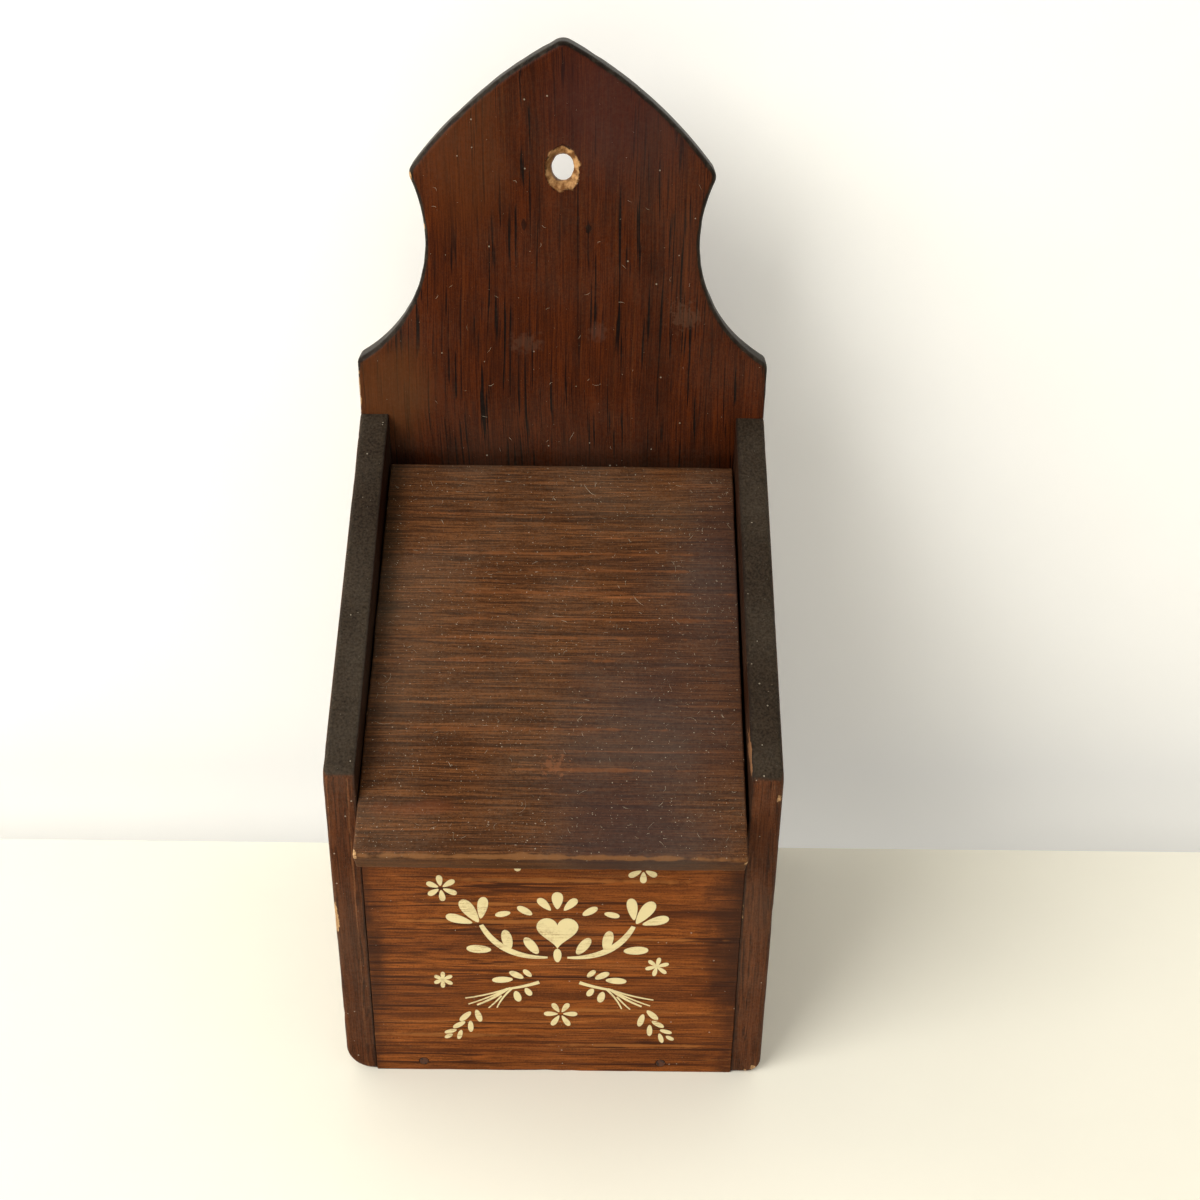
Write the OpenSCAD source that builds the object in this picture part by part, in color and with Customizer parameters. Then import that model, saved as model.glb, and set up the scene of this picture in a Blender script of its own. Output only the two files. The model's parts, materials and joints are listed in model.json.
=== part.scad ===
// Wooden salt box with a sloping lid that turns on two round-head nails.
// It stands on a table or hangs from the hole in its crest.
// Millimetres, +Z up, front towards -Y, origin at the middle of its foot.

/* [Box] */
// Width over the outer faces of the two side boards
box_w = 140; // [115:1:200]
// Depth of a side board, from its front edge to the back board
side_d = 114; // [95:1:150]
// Height of a side board at its front edge
side_front_h = 121; // [112:1:135]
// Height of a side board where it meets the back board
side_back_h = 193; // [183:1:205]
// Radius of the eased corner between a side's front edge and its sloping top
side_top_r = 4; // [1:0.5:8]
// Radius of the lower outer edge of the left side board
left_foot_r = 9; // [2:0.5:9]
// Radius of the lower outer edge of the right side board
right_foot_r = 5; // [2:0.5:9]

/* [Boards] */
// Thickness of the two side boards
side_t = 10; // [8:0.5:14]
// Thickness of the back board
back_t = 10; // [8:0.5:14]
// Thickness of the front board
front_t = 10; // [8:0.5:14]
// Thickness of the bottom board
bottom_t = 8; // [6:0.5:12]
// Thickness of the lid
lid_t = 10; // [8:0.5:11]

/* [Crest] */
// Height of the back board to the point where its two arches would cross
crest_h = 316.5; // [300:0.5:340]
// Radius of each arch of the crest
arch_r = 144; // [120:1:200]
// Width over the two cusps, where an arch ends
cusp_w = 99; // [94:1:106]
// Height of the cusps
cusp_z = 275.8; // [270:0.1:282]
// Radius of the hollow below each cusp
neck_r = 48; // [42:0.5:54]
// Least width of the neck between the two hollows
neck_w = 90.4; // [84:0.2:94]
// Height of the narrowest place of the neck
neck_z = 254; // [250:0.5:258]
// Radius that eases the point of the crest
peak_r = 5; // [2:0.5:8]
// Radius that eases each cusp
cusp_r = 4; // [1:0.5:5]
// Radius that eases each shoulder
shoulder_r = 2.5; // [1:0.5:5]
// Diameter of the hanging hole
hang_d = 8; // [5:0.5:12]
// Distance from the point of the crest down to the hanging hole
hang_drop = 40; // [30:1:60]

/* [Lid] */
// Fall of the lid towards the front, in degrees
lid_slope = 31.7; // [30:0.1:33]
// Overhang of the lid's top edge in front of the front board
lid_lip = 14.9; // [10:0.1:20]
// Length of the lid from its pivot to its rear edge
lid_tail = 5; // [4:0.1:5.2]
// Radius of the lid's four long edges
lid_edge_r = 1.5; // [0.5:0.1:2.5]
// Height of the pivot above the foot
pivot_z = 170.5; // [168:0.5:172]
// Distance of the pivot in front of the back board
pivot_inset = 8; // [7.8:0.1:9]

/* [Nails] */
// Shank diameter of a pivot nail
pivot_d = 2.6; // [2:0.1:3.2]
// Head diameter of a pivot nail
pivot_head_d = 5; // [4:0.1:6]
// Height of a pivot nail's domed head
pivot_head_h = 1.2; // [0.8:0.1:1.6]
// Length of a pivot nail's shank inside the lid
pivot_grip = 14; // [8:1:20]
// Shank diameter of a board nail
nail_d = 1.8; // [1.4:0.1:2.2]
// Length of a board nail
nail_l = 25; // [20:1:30]
// Head diameter of a board nail
nail_head_d = 3; // [2.4:0.1:3.6]
// Thickness of a board nail's head
nail_head_t = 0.8; // [0.5:0.1:1.2]
// Length of the point of every nail
nail_tip = 3; // [2:0.5:4]
// Distance from the left side board to the left nail of the front board
front_nail_left = 16; // [8:1:30]
// Distance from the right side board to the right nail of the front board
front_nail_right = 24; // [8:1:30]
// Distance from the side boards to the back nails of the bottom board
back_nail_inset = 22; // [8:1:30]
// Height of the lowest nail in each upright joint
nail_low = 20; // [16:1:30]
// Distance from the top of an upright joint down to its highest nail
nail_high = 16; // [12:1:24]
// Number of nails in each upright joint
nail_count = 3; // [2:1:4]

/* [Fits] */
// Gap between each end of the lid and its side board
lid_side_gap = 0.6; // [0.3:0.1:1.2]
// Gap between the closed lid and the front board
lid_seat_gap = 0.2; // [0.1:0.05:0.4]
// Radial clearance of a pivot nail in the lid
pivot_fit = 0.06; // [0.03:0.01:0.1]
// Clearance round a nail in the board that holds it
nail_fit = 0.04; // [0.02:0.01:0.1]
// Depth left free past a nail's point
tip_gap = 0.4; // [0.2:0.1:1]

/* [Hidden] */
$fn = 96;
// Overshoot of a cutting shape past the face it opens
over = 1;
left = -1;
right = 1;

// The box, from its front face at Y = 0 to its wall face
inner_w = box_w - 2 * side_t;
wall_y = side_d + back_t;
front_y = -wall_y / 2;
side_slope = atan((side_back_h - side_front_h) / side_d);
bottom_d = side_d - front_t;

// The crest: arch centres lie across the middle from the arch they draw
peak = [0, crest_h];
cusp = [cusp_w / 2, cusp_z];
chord = cusp - peak;
chord_l = norm(chord);
arch_sag = sqrt(arch_r * arch_r - chord_l * chord_l / 4);
arch_c = (peak + cusp) / 2 + arch_sag / chord_l * [chord[1], -chord[0]];
neck_c = [neck_w / 2 + neck_r, neck_z];
cusp_fillet_c = circles_meet(arch_c, arch_r - cusp_r, neck_c, neck_r + cusp_r);
peak_fillet_c = [0, arch_c[1] + sqrt(pow(arch_r - peak_r, 2) - pow(arch_c[0], 2))];
shoulder_x = box_w / 2 - shoulder_r;
shoulder_dx = neck_c[0] - shoulder_x;
shoulder_fillet_c = [shoulder_x, neck_z - sqrt(pow(neck_r + shoulder_r, 2) - pow(shoulder_dx, 2))];
hang_z = crest_h - hang_drop;

// The lid: its own X runs up the slope and its own Y up through its thickness
lid_w = inner_w - 2 * lid_side_gap;
pivot_y = side_d - pivot_inset;
lid_reach = (pivot_y + lid_lip - lid_t / 2 * sin(lid_slope)) / cos(lid_slope);
lid_l = lid_reach + lid_tail;
pivot_hole_l = pivot_grip + tip_gap;
pivot_l = side_t + lid_side_gap + pivot_grip;
// Underside of the lid above the front face, less the seat's gap
seat_drop = (lid_t / 2 + lid_seat_gap) / cos(lid_slope);
front_h = pivot_z - pivot_y * tan(lid_slope) - seat_drop;
front_back_h = front_h + front_t * tan(lid_slope);

// Nail places
front_nail_z = heights(front_h);
side_nail_z = heights(side_back_h);
front_nail_x = [left * inner_w / 2 + front_nail_left, right * inner_w / 2 - front_nail_right];
back_nail_x = [left * (inner_w / 2 - back_nail_inset), right * (inner_w / 2 - back_nail_inset)];

// Colours of the stained boards, the worn lid and the iron nails
back_stain = "#5a3224";
side_stain = "#4a3028";
front_stain = "#7a4526";
lid_stain = "#6b5440";
bare_wood = "#8a6a48";
iron = "#3a3634";

// Evenly spaced heights of the nails in a joint of height h
function heights(h) = [for (i = [0 : nail_count - 1]) nail_low + i * (h - nail_high - nail_low) / (nail_count - 1)];

// Direction of a vector in degrees
function heading(v) = atan2(v[1], v[0]);

// The crossing of two circles that lies to the left of the way from a to b
function circles_meet(a, ra, b, rb) =
    let (
        ab = b - a,
        d = norm(ab),
        along = (d * d + ra * ra - rb * rb) / (2 * d),
        aside = sqrt(ra * ra - along * along)
    )
    a + (along * ab + aside * [-ab[1], ab[0]]) / d;

// What a round of radius r removes from a corner, between two headings
// from the round's centre
module corner_waste(centre, r, from_a, to_a) {
    half = (to_a - from_a) / 2;
    reach = r / cos(half) + over;
    translate(centre)
        difference() {
            polygon([
                [0, 0],
                reach * [cos(from_a), sin(from_a)],
                reach * [cos(from_a + half), sin(from_a + half)],
                reach * [cos(to_a), sin(to_a)]
            ]);
            circle(r);
        }
}

// Draws a profile in the Y-Z plane and gives it the width w along X
module across(w) {
    rotate([90, 0, 90]) linear_extrude(w) children();
}

// Draws a profile in the X-Z plane and gives it the depth d towards +Y
module rearward(d) {
    translate([0, d, 0]) rotate([90, 0, 0]) linear_extrude(d) children();
}

// Stands a nail drawn along -Z in the outer face of a side board
module in_side(side, y, z) {
    translate([side * box_w / 2, y, z]) rotate([0, side * 90, 0]) children();
}

// Stands a nail drawn along -Z in the wall face of the back board
module in_back(x, z) {
    translate([x, wall_y, z]) rotate([-90, 0, 0]) children();
}

// Stands a nail drawn along -Z in the face of the front board
module in_front(x, z) {
    translate([x, 0, z]) rotate([90, 0, 0]) children();
}

// Board nail: flat head at Z = 0, shank and point below; grow is added all round
module nail(grow = 0, past = 0) {
    shank_l = nail_l - nail_tip + past;
    translate([0, 0, -nail_head_t - grow])
        cylinder(d = nail_head_d + 2 * grow, h = nail_head_t + grow + past);
    translate([0, 0, -shank_l])
        cylinder(d = nail_d + 2 * grow, h = shank_l - nail_head_t / 2);
    translate([0, 0, -shank_l - nail_tip])
        cylinder(d1 = nail_d / 4, d2 = nail_d + 2 * grow, h = nail_tip);
}

// Room for a board nail, open at the face it enters
module nail_hole() {
    nail(grow = nail_fit, past = tip_gap);
}

// Round-head nail that the lid turns on: shank along -Z, head above Z = 0
module pivot_nail() {
    dome_r = (pow(pivot_head_d / 2, 2) + pow(pivot_head_h, 2)) / (2 * pivot_head_h);
    intersection() {
        translate([0, 0, pivot_head_h - dome_r]) sphere(dome_r);
        cylinder(d = pivot_head_d, h = pivot_head_h);
    }
    translate([0, 0, nail_tip - pivot_l])
        cylinder(d = pivot_d, h = pivot_l - nail_tip);
    translate([0, 0, -pivot_l])
        cylinder(d1 = pivot_d / 4, d2 = pivot_d, h = nail_tip);
}

// Nails of one upright joint between a side board and the front board
module side_front_nails(side) {
    for (z = front_nail_z) in_side(side, front_t / 2, z) children();
}

// Nails of one upright joint between the back board and a side board
module back_side_nails(side) {
    for (z = side_nail_z) in_back(side * (box_w - side_t) / 2, z) children();
}

// Nails through the front board into the bottom board
module front_bottom_nails() {
    for (x = front_nail_x) in_front(x, bottom_t / 2) children();
}

// Nails through the back board into the bottom board
module back_bottom_nails() {
    for (x = back_nail_x) in_back(x, bottom_t / 2) children();
}

// Half of the crest's eased corners, on the +X side
module crest_waste() {
    corner_waste(cusp_fillet_c, cusp_r, heading(neck_c - cusp_fillet_c), heading(cusp_fillet_c - arch_c));
    corner_waste(shoulder_fillet_c, shoulder_r, 0, heading(neck_c - shoulder_fillet_c));
}

// Outline of the back board: plank, pointed arch, cusps, hollows and shoulders
module back_outline() {
    peak_a = heading(peak_fillet_c - arch_c);
    difference() {
        intersection() {
            translate([-box_w / 2, 0]) square([box_w, crest_h]);
            union() {
                translate([-box_w / 2, 0]) square([box_w, neck_z]);
                intersection() {
                    translate(arch_c) circle(arch_r, $fn = 240);
                    translate([-arch_c[0], arch_c[1]]) circle(arch_r, $fn = 240);
                    translate([-box_w / 2, neck_z - over]) square([box_w, crest_h - neck_z + 2 * over]);
                }
            }
        }
        for (side = [0, 1]) mirror([side, 0]) {
            translate(neck_c) circle(neck_r, $fn = 180);
            crest_waste();
        }
        corner_waste(peak_fillet_c, peak_r, peak_a, 180 - peak_a);
        translate([0, hang_z]) circle(d = hang_d);
    }
}

// Outline of a side board, seen from its side
module side_outline() {
    rise = tan(side_slope);
    round_z = side_front_h + side_top_r * rise - side_top_r / cos(side_slope);
    difference() {
        polygon([[0, 0], [side_d, 0], [side_d, side_back_h], [0, side_front_h]]);
        corner_waste([side_top_r, round_z], side_top_r, 90 + side_slope, 180);
    }
}

// One side board with its rounded foot and its nail holes
module side_board(side, foot) {
    foot_r = min(foot, side_t - over);
    foot_c = [box_w / 2 - foot_r, foot_r];
    difference() {
        translate([side * (box_w - side_t) / 2 - side_t / 2, 0, 0]) across(side_t) side_outline();
        mirror([side == left ? 1 : 0, 0, 0])
            translate([0, -over, 0]) rearward(side_d + 2 * over) corner_waste(foot_c, foot_r, -90, 0);
        side_front_nails(side) nail_hole();
        back_side_nails(side) nail_hole();
        in_side(side, pivot_y, pivot_z)
            translate([0, 0, -side_t - over]) cylinder(d = pivot_d + 2 * nail_fit, h = side_t + 2 * over);
    }
}

// Outline of the lid in its own frame, with its pivot at the origin
module lid_outline() {
    difference() {
        translate([-lid_reach, -lid_t / 2]) square([lid_l, lid_t]);
        for (i = [0 : 3]) {
            front = i == 1 || i == 2;
            x = front ? lid_edge_r - lid_reach : lid_tail - lid_edge_r;
            y = (i < 2 ? 1 : -1) * (lid_t / 2 - lid_edge_r);
            corner_waste([x, y], lid_edge_r, 90 * i, 90 * i + 90);
        }
    }
}

module back_board() {
    color(back_stain) translate([0, front_y, 0])
        difference() {
            translate([0, side_d, 0]) rearward(back_t) back_outline();
            back_side_nails(left) nail_hole();
            back_side_nails(right) nail_hole();
            back_bottom_nails() nail_hole();
        }
}

module left_side() {
    color(side_stain) translate([0, front_y, 0]) side_board(left, left_foot_r);
}

module right_side() {
    color(side_stain) translate([0, front_y, 0]) side_board(right, right_foot_r);
}

module front_board() {
    color(front_stain) translate([0, front_y, 0])
        difference() {
            translate([-inner_w / 2, 0, 0])
                across(inner_w)
                    polygon([[0, 0], [front_t, 0], [front_t, front_back_h], [0, front_h]]);
            side_front_nails(left) nail_hole();
            side_front_nails(right) nail_hole();
            front_bottom_nails() nail_hole();
        }
}

module bottom_board() {
    color(bare_wood) translate([0, front_y, 0])
        difference() {
            translate([-inner_w / 2, front_t, 0]) cube([inner_w, bottom_d, bottom_t]);
            front_bottom_nails() nail_hole();
            back_bottom_nails() nail_hole();
        }
}

module lid() {
    color(lid_stain) translate([0, front_y + pivot_y, pivot_z])
        difference() {
            translate([-lid_w / 2, 0, 0]) rotate([lid_slope, 0, 0]) across(lid_w) lid_outline();
            for (side = [left, right])
                translate([side * (lid_w / 2 + over), 0, 0])
                    rotate([0, -side * 90, 0])
                        cylinder(d = pivot_d + 2 * pivot_fit, h = pivot_hole_l + over);
        }
}

module left_pivot_pin() {
    color(iron) translate([0, front_y, 0]) in_side(left, pivot_y, pivot_z) pivot_nail();
}

module right_pivot_pin() {
    color(iron) translate([0, front_y, 0]) in_side(right, pivot_y, pivot_z) pivot_nail();
}

module front_base_nails() {
    color(iron) translate([0, front_y, 0]) front_bottom_nails() nail();
}

module left_side_front_nails() {
    color(iron) translate([0, front_y, 0]) side_front_nails(left) nail();
}

module right_side_front_nails() {
    color(iron) translate([0, front_y, 0]) side_front_nails(right) nail();
}

module back_to_left_side_nails() {
    color(iron) translate([0, front_y, 0]) back_side_nails(left) nail();
}

module back_to_right_side_nails() {
    color(iron) translate([0, front_y, 0]) back_side_nails(right) nail();
}

module back_to_bottom_nails() {
    color(iron) translate([0, front_y, 0]) back_bottom_nails() nail();
}

back_board();
left_side();
right_side();
front_board();
bottom_board();
lid();
left_pivot_pin();
right_pivot_pin();
front_base_nails();
left_side_front_nails();
right_side_front_nails();
back_to_left_side_nails();
back_to_right_side_nails();
back_to_bottom_nails();
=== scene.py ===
import json
import math
import random

import bmesh
import bpy
from bpy.props import FloatProperty, FloatVectorProperty, IntProperty, PointerProperty
from bpy.types import Operator, Panel, PropertyGroup
from mathutils import Matrix, Vector, noise
from mathutils.kdtree import KDTree

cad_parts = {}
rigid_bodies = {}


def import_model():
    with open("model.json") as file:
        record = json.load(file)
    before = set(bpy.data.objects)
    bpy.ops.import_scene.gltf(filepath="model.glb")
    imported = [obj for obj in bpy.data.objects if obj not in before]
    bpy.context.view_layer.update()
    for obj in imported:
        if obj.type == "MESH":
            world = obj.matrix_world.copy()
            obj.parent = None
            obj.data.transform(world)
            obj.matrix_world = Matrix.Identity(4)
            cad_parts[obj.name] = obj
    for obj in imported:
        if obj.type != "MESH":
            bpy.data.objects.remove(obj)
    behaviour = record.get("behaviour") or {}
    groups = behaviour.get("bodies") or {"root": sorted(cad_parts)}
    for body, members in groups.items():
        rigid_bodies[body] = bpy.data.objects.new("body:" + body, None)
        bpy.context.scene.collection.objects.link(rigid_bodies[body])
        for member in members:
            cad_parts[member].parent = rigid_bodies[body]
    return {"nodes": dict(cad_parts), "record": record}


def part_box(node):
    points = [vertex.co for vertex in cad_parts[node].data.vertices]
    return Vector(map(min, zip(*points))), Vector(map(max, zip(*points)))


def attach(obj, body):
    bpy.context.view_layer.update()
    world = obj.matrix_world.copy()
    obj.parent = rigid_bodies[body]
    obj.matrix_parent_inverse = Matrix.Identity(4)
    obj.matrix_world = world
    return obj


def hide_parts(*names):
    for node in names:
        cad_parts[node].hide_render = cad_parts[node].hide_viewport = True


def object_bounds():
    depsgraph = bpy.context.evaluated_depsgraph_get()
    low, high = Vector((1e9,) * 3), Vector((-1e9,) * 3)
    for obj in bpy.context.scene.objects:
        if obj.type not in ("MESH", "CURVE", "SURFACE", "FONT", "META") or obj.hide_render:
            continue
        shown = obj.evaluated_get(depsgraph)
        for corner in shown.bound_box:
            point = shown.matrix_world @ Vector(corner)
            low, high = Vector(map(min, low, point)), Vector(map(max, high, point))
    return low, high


bl_info = {
    "name": "Salt box with hinged lid",
    "version": (1, 0, 0),
    "blender": (4, 5, 0),
    "location": "3D View > Sidebar > Salt box",
    "description": "Stained boards, painted ornament, nails, dust and a plain stage",
    "category": "Object",
}

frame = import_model()
CAD_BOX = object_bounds()
PIVOT = Vector(frame["record"]["behaviour"]["joints"][0]["pos_m"])
BACK_LOW, BACK_HIGH = (Vector(corner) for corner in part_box("back_board"))
SIDE_LOW, SIDE_HIGH = (Vector(corner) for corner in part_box("right_side"))
FRONT_LOW, FRONT_HIGH = (Vector(corner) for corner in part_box("front_board"))
BOTTOM_LOW, BOTTOM_HIGH = (Vector(corner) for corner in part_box("bottom_board"))
LID_LOW, LID_HIGH = (Vector(corner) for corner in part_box("lid"))
MM = 0.001
LEFT = -1
RIGHT = 1

SHARP_ANGLE = math.radians(48)
CORNER_ANGLE = math.radians(30)
NEAR = 0.1 * MM
WELD = 0.02 * MM
SHORTEST_EDGE = 0.001 * MM
HALF_BOARD = 5 * MM
LID_ARRIS = 1.5 * MM

# Wear: reach of the edge wear, sizes of dents and waves per metre, depth of the waves in mm
WEAR_REACH = 1.5 * MM
BROAD_DENTS = 55
FINE_DENTS = 260
WAVES = 14
WAVE_DEPTH = 0.06

# Nail pockets: depth, and radii over the head's own
POCKET_DEPTH = 0.9 * MM
POCKET_FLOOR = 1.03
POCKET_RIM = 1.3

# Torn hole: share of the board's thickness, share of the torn rim
HOLE_FLARES = ((-1.0, 1.0), (0.02, 0.95), (0.07, 0.55), (0.13, 0.1), (0.22, 0.0), (0.5, -0.05),
               (0.78, 0.0), (0.9, 0.2), (0.98, 0.5), (2.0, 0.6))

# Paint films in mm: how deep each reaches into the wood, how much higher each next one stands
PAINT_DEPTH = 0.02
PAINT_STEP = 0.004

# Dust: crumbs per square metre, least and largest size in mm, least lean, seed; hairs, seed
LID_CRUMBS = (1900000, 0.1, 0.28, 1.0, 2)
BOX_CRUMBS = (110000, 0.1, 0.24, 0.9, 6)
LID_HAIRS = (240, 8)
BOX_HAIRS = (34, 11)
HAIR_LENGTHS = (0.7, 2.4)
HAIR_RADII = (0.02, 0.045)
HAIR_GAP = 0.02 * MM
LONG_HAIR = 3.2
LONG_HAIR_SHARE = 0.07
LID_REACH = 134

# Stage, in metres: half width, depth of the table's edge, table behind the box; sensor in mm
STAGE_REACH = 3.0
TABLE_DEPTH = 0.04
TABLE_EDGE = 0.5 * MM
SENSOR = 36


def length(name, description, default_mm, low_mm=0.0, high_mm=1000.0):
    """A length property, written in millimetres and held in metres."""
    return FloatProperty(
        name=name, description=description, default=default_mm * MM,
        min=low_mm * MM, max=high_mm * MM, precision=5, subtype="DISTANCE", unit="LENGTH",
    )


def amount(name, description, default, low=0.0, high=1.0):
    """A plain factor property."""
    return FloatProperty(name=name, description=description, default=default, min=low, max=high,
                         subtype="FACTOR")


def whole(name, description, default, least):
    """A whole number property."""
    return IntProperty(name=name, description=description, default=default, min=least)


def turn(name, description, degrees):
    """An angle property, written in degrees."""
    return FloatProperty(name=name, description=description, default=math.radians(degrees),
                         subtype="ANGLE", unit="ROTATION")


def tint(name, description, red, green, blue):
    """A colour property, written as eight-bit screen values."""
    return FloatVectorProperty(
        name=name, description=description, subtype="COLOR_GAMMA", size=3, min=0.0, max=1.0,
        default=(red / 255, green / 255, blue / 255),
    )


class SaltBoxCrest(PropertyGroup):
    """Outline of the back board above the sides."""

    arch_r: length("Arch radius", "Radius of each arch of the crest", 144)
    top: length("Crossing height", "Height at which the two arches would cross", 316.1)
    cusp_w: length("Cusp width", "Width over the two cusps", 99)
    cusp_z: length("Cusp height", "Height of the cusps", 275.8)
    neck_r: length("Neck radius", "Radius of the hollow below each cusp", 48)
    neck_w: length("Neck width", "Least width between the two hollows", 90.4)
    neck_z: length("Neck height", "Height of the narrowest place", 254)
    peak_round: length("Point rounding", "Radius that eases the point", 5)
    cusp_round: length("Cusp rounding", "Radius that eases each cusp", 4)
    shoulder_round: length("Shoulder rounding", "Radius that eases each shoulder", 2.5)
    hole_r: length("Hole radius", "Half width of the hanging hole", 3.7)
    hole_tall: amount("Hole height", "Height of the hole over its width", 1.16, 0.5, 2)
    hole_slant: length("Hole slant", "Drop of the hole from the front to the back", 2.2)
    hole_z: length("Hole level", "Level of the hanging hole", 276.5)
    hole_flare: length("Torn rim", "How far the torn rim reaches past the hole", 2.0)


class SaltBoxBoards(PropertyGroup):
    """Edges and wear of the boards."""

    side_front_h: length("Side front height", "Height of a side board at its front edge", 121)
    side_top_round: length("Side corner", "Rounding where the front edge meets the slope", 4)
    left_foot: length("Left foot rounding", "Radius of the left side's lower outer edge", 9)
    right_foot: length("Right foot rounding", "Radius of the right side's lower outer edge", 5)
    lid_slope: turn("Lid slope", "Fall of the lid towards the front", 31.7)
    lid_t: length("Lid thickness", "Thickness of the lid", 10)
    lid_lip: length("Lid lip", "Overhang of the lid's top edge", 14.9)
    lid_skew: length("Lid skew", "How far the lid's front edge has shifted to the left", 0.45)
    lid_tail: length("Lid tail", "Lid behind its pivot", 5)
    soft_arris: length("Soft arris", "Radius of the edges that hands have worn", 1.8)
    crest_arris: length("Crest arris", "Radius of the crest's front edge", 2.2)
    plain_arris: length("Plain arris", "Radius of the other open edges", 0.9)
    joint_arris: length("Joint arris", "Radius of the edges inside a joint", 0.4)
    mesh_step: length("Mesh step", "Spacing of the mesh lines across a board", 3, 1, 20)
    edge_wear: length("Edge wear", "Depth of the dents along the edges", 0.3)


class SaltBoxNails(PropertyGroup):
    """Places and sizes of the nail heads."""

    head_r: length("Head radius", "Radius of a board nail's head", 1.5)
    left_inset: length("Left front nail", "Distance from the left side board", 16)
    right_inset: length("Right front nail", "Distance from the right side board", 24)
    back_inset: length("Back nails", "Distance of the lower back nails from the sides", 22)
    low: length("Lowest nail", "Height of the lowest nail of a joint", 20)
    high: length("Highest nail", "Drop from the joint's top to its highest nail", 16)
    count: whole("Nails in a joint", "Nails in each upright joint", 3, 2)


class SaltBoxPaint(PropertyGroup):
    """The painted ornament of the front board."""

    film: length("Paint film", "Height of the paint on the board", 0.07)
    petal_count: whole("Petals", "Petals of a flower", 6, 3)
    stem_w: length("Stem width", "Width of a sprig's stem", 1.3)
    scroll_w: length("Brush width", "Width of the brush that paints the bouquet", 3.4)


class SaltBoxColours(PropertyGroup):
    """Colours of the finishes."""

    back_dark: tint("Back dark", "Dark grain of the back board", 38, 13, 2)
    back_mid: tint("Back middle", "Main tone of the back board", 71, 28, 4)
    back_light: tint("Back light", "Light grain of the back board", 92, 46, 16)
    side_dark: tint("Side dark", "Dark grain of the side boards", 50, 24, 10)
    side_mid: tint("Side middle", "Main tone of the side boards", 86, 46, 22)
    side_light: tint("Side light", "Light grain of the side boards", 120, 74, 42)
    front_dark: tint("Front dark", "Dark grain of the front board", 76, 35, 11)
    front_mid: tint("Front middle", "Main tone of the front board", 131, 71, 26)
    front_light: tint("Front light", "Golden lines of the front board", 158, 96, 46)
    lid_dark: tint("Lid dark", "Dark grain of the lid", 58, 33, 17)
    lid_mid: tint("Lid middle", "Main tone of the lid", 95, 58, 30)
    lid_light: tint("Lid light", "Warm lines of the lid", 122, 72, 38)
    bare_dark: tint("Bare dark", "Dark grain of unstained wood", 128, 94, 62)
    bare_light: tint("Bare light", "Light grain of unstained wood", 216, 172, 120)
    grime: tint("Grime", "Dark dust in the end grain", 47, 42, 33)
    dust: tint("Dust", "Pale dust and specks", 196, 182, 158)
    smudge: tint("Smudge", "Cool dark stain on the lid", 58, 44, 42)
    paint: tint("Paint", "Cream paint of the ornament", 228, 211, 158)
    iron: tint("Iron", "Dark iron of the nails", 44, 40, 37)
    table: tint("Table", "Surface that the box stands on", 250, 246, 230)
    wall: tint("Wall", "Wall behind the box", 252, 251, 247)


class SaltBoxStage(PropertyGroup):
    """Camera, lamps and backdrop."""

    image_px: whole("Photograph", "Width of the photograph in pixels", 1200, 100)
    focal_px: FloatProperty(name="Focal length", default=1507.6,
                            description="Focal length in photograph pixels")
    pitch: turn("Pitch", "How far the camera looks down", 28.21)
    yaw: turn("Yaw", "How far the camera looks to the right", 0.29)
    roll: turn("Roll", "How far the camera leans", -0.81)
    camera: FloatVectorProperty(name="Camera", description="Place of the camera", size=3,
                                default=(0.01145, -0.43787, 0.38348),
                                subtype="TRANSLATION", unit="LENGTH")
    wall_gap: length("Wall gap", "Space between the box and the wall", 55.7)
    key_power: FloatProperty(name="Window light", description="Power of the window light",
                             default=37.0, unit="POWER")
    window_turn: turn("Window turn", "Direction of the window, left of the front", 50)
    window_rise: turn("Window rise", "Height of the window above the level", 33)
    window_spread: turn("Window spread", "How wide the window looks from the box", 40)
    window_away: length("Window distance", "Distance of the window from the box", 2000, 500, 9000)
    sky: amount("Room light", "Strength of the light from the room", 0.46, 0, 3)


# Placing and plain helpers

def linear(colour):
    """Screen colour, a property or a tuple of eight-bit values, to a socket's linear colour."""
    full = 255 if isinstance(colour, tuple) else 1

    def channel(value):
        return value / 12.92 if value <= 0.04045 else ((value + 0.055) / 1.055) ** 2.4
    return tuple(channel(value / full) for value in colour) + (1.0,)


def linked(name, data):
    """An object in the scene that holds a mesh, a lamp or a camera."""
    thing = bpy.data.objects.new(name, data)
    bpy.context.scene.collection.objects.link(thing)
    return thing


def new_piece(name, mesh, body):
    """A mesh object at the origin that rides on a body."""
    mesh.name = name
    piece = linked(name, mesh)
    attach(piece, body)
    return piece


def solid_of(*meshes):
    """An editable solid that holds the faces of some meshes."""
    solid = bmesh.new()
    for mesh in meshes:
        solid.from_mesh(mesh)
    return solid


def mesh_of(solid, name):
    """A mesh of a solid, which is freed."""
    mesh = bpy.data.meshes.new(name)
    solid.to_mesh(mesh)
    solid.free()
    return mesh


def face_out(solid):
    """Turns the faces of a solid outwards."""
    bmesh.ops.recalc_face_normals(solid, faces=solid.faces)


def baked(host):
    """The plain mesh that an object's modifiers give; the object goes."""
    bpy.context.view_layer.update()
    graph = bpy.context.evaluated_depsgraph_get()
    result = bpy.data.meshes.new_from_object(host.evaluated_get(graph))
    host.modifiers.clear()
    bpy.data.objects.remove(host)
    return result


def modified(mesh, kind, **settings):
    """The mesh after one modifier, given by its kind and settings."""
    host = linked("scratch", mesh)
    modifier = host.modifiers.new(kind.title(), kind)
    for key, value in settings.items():
        setattr(modifier, key, value)
    return baked(host)


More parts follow.
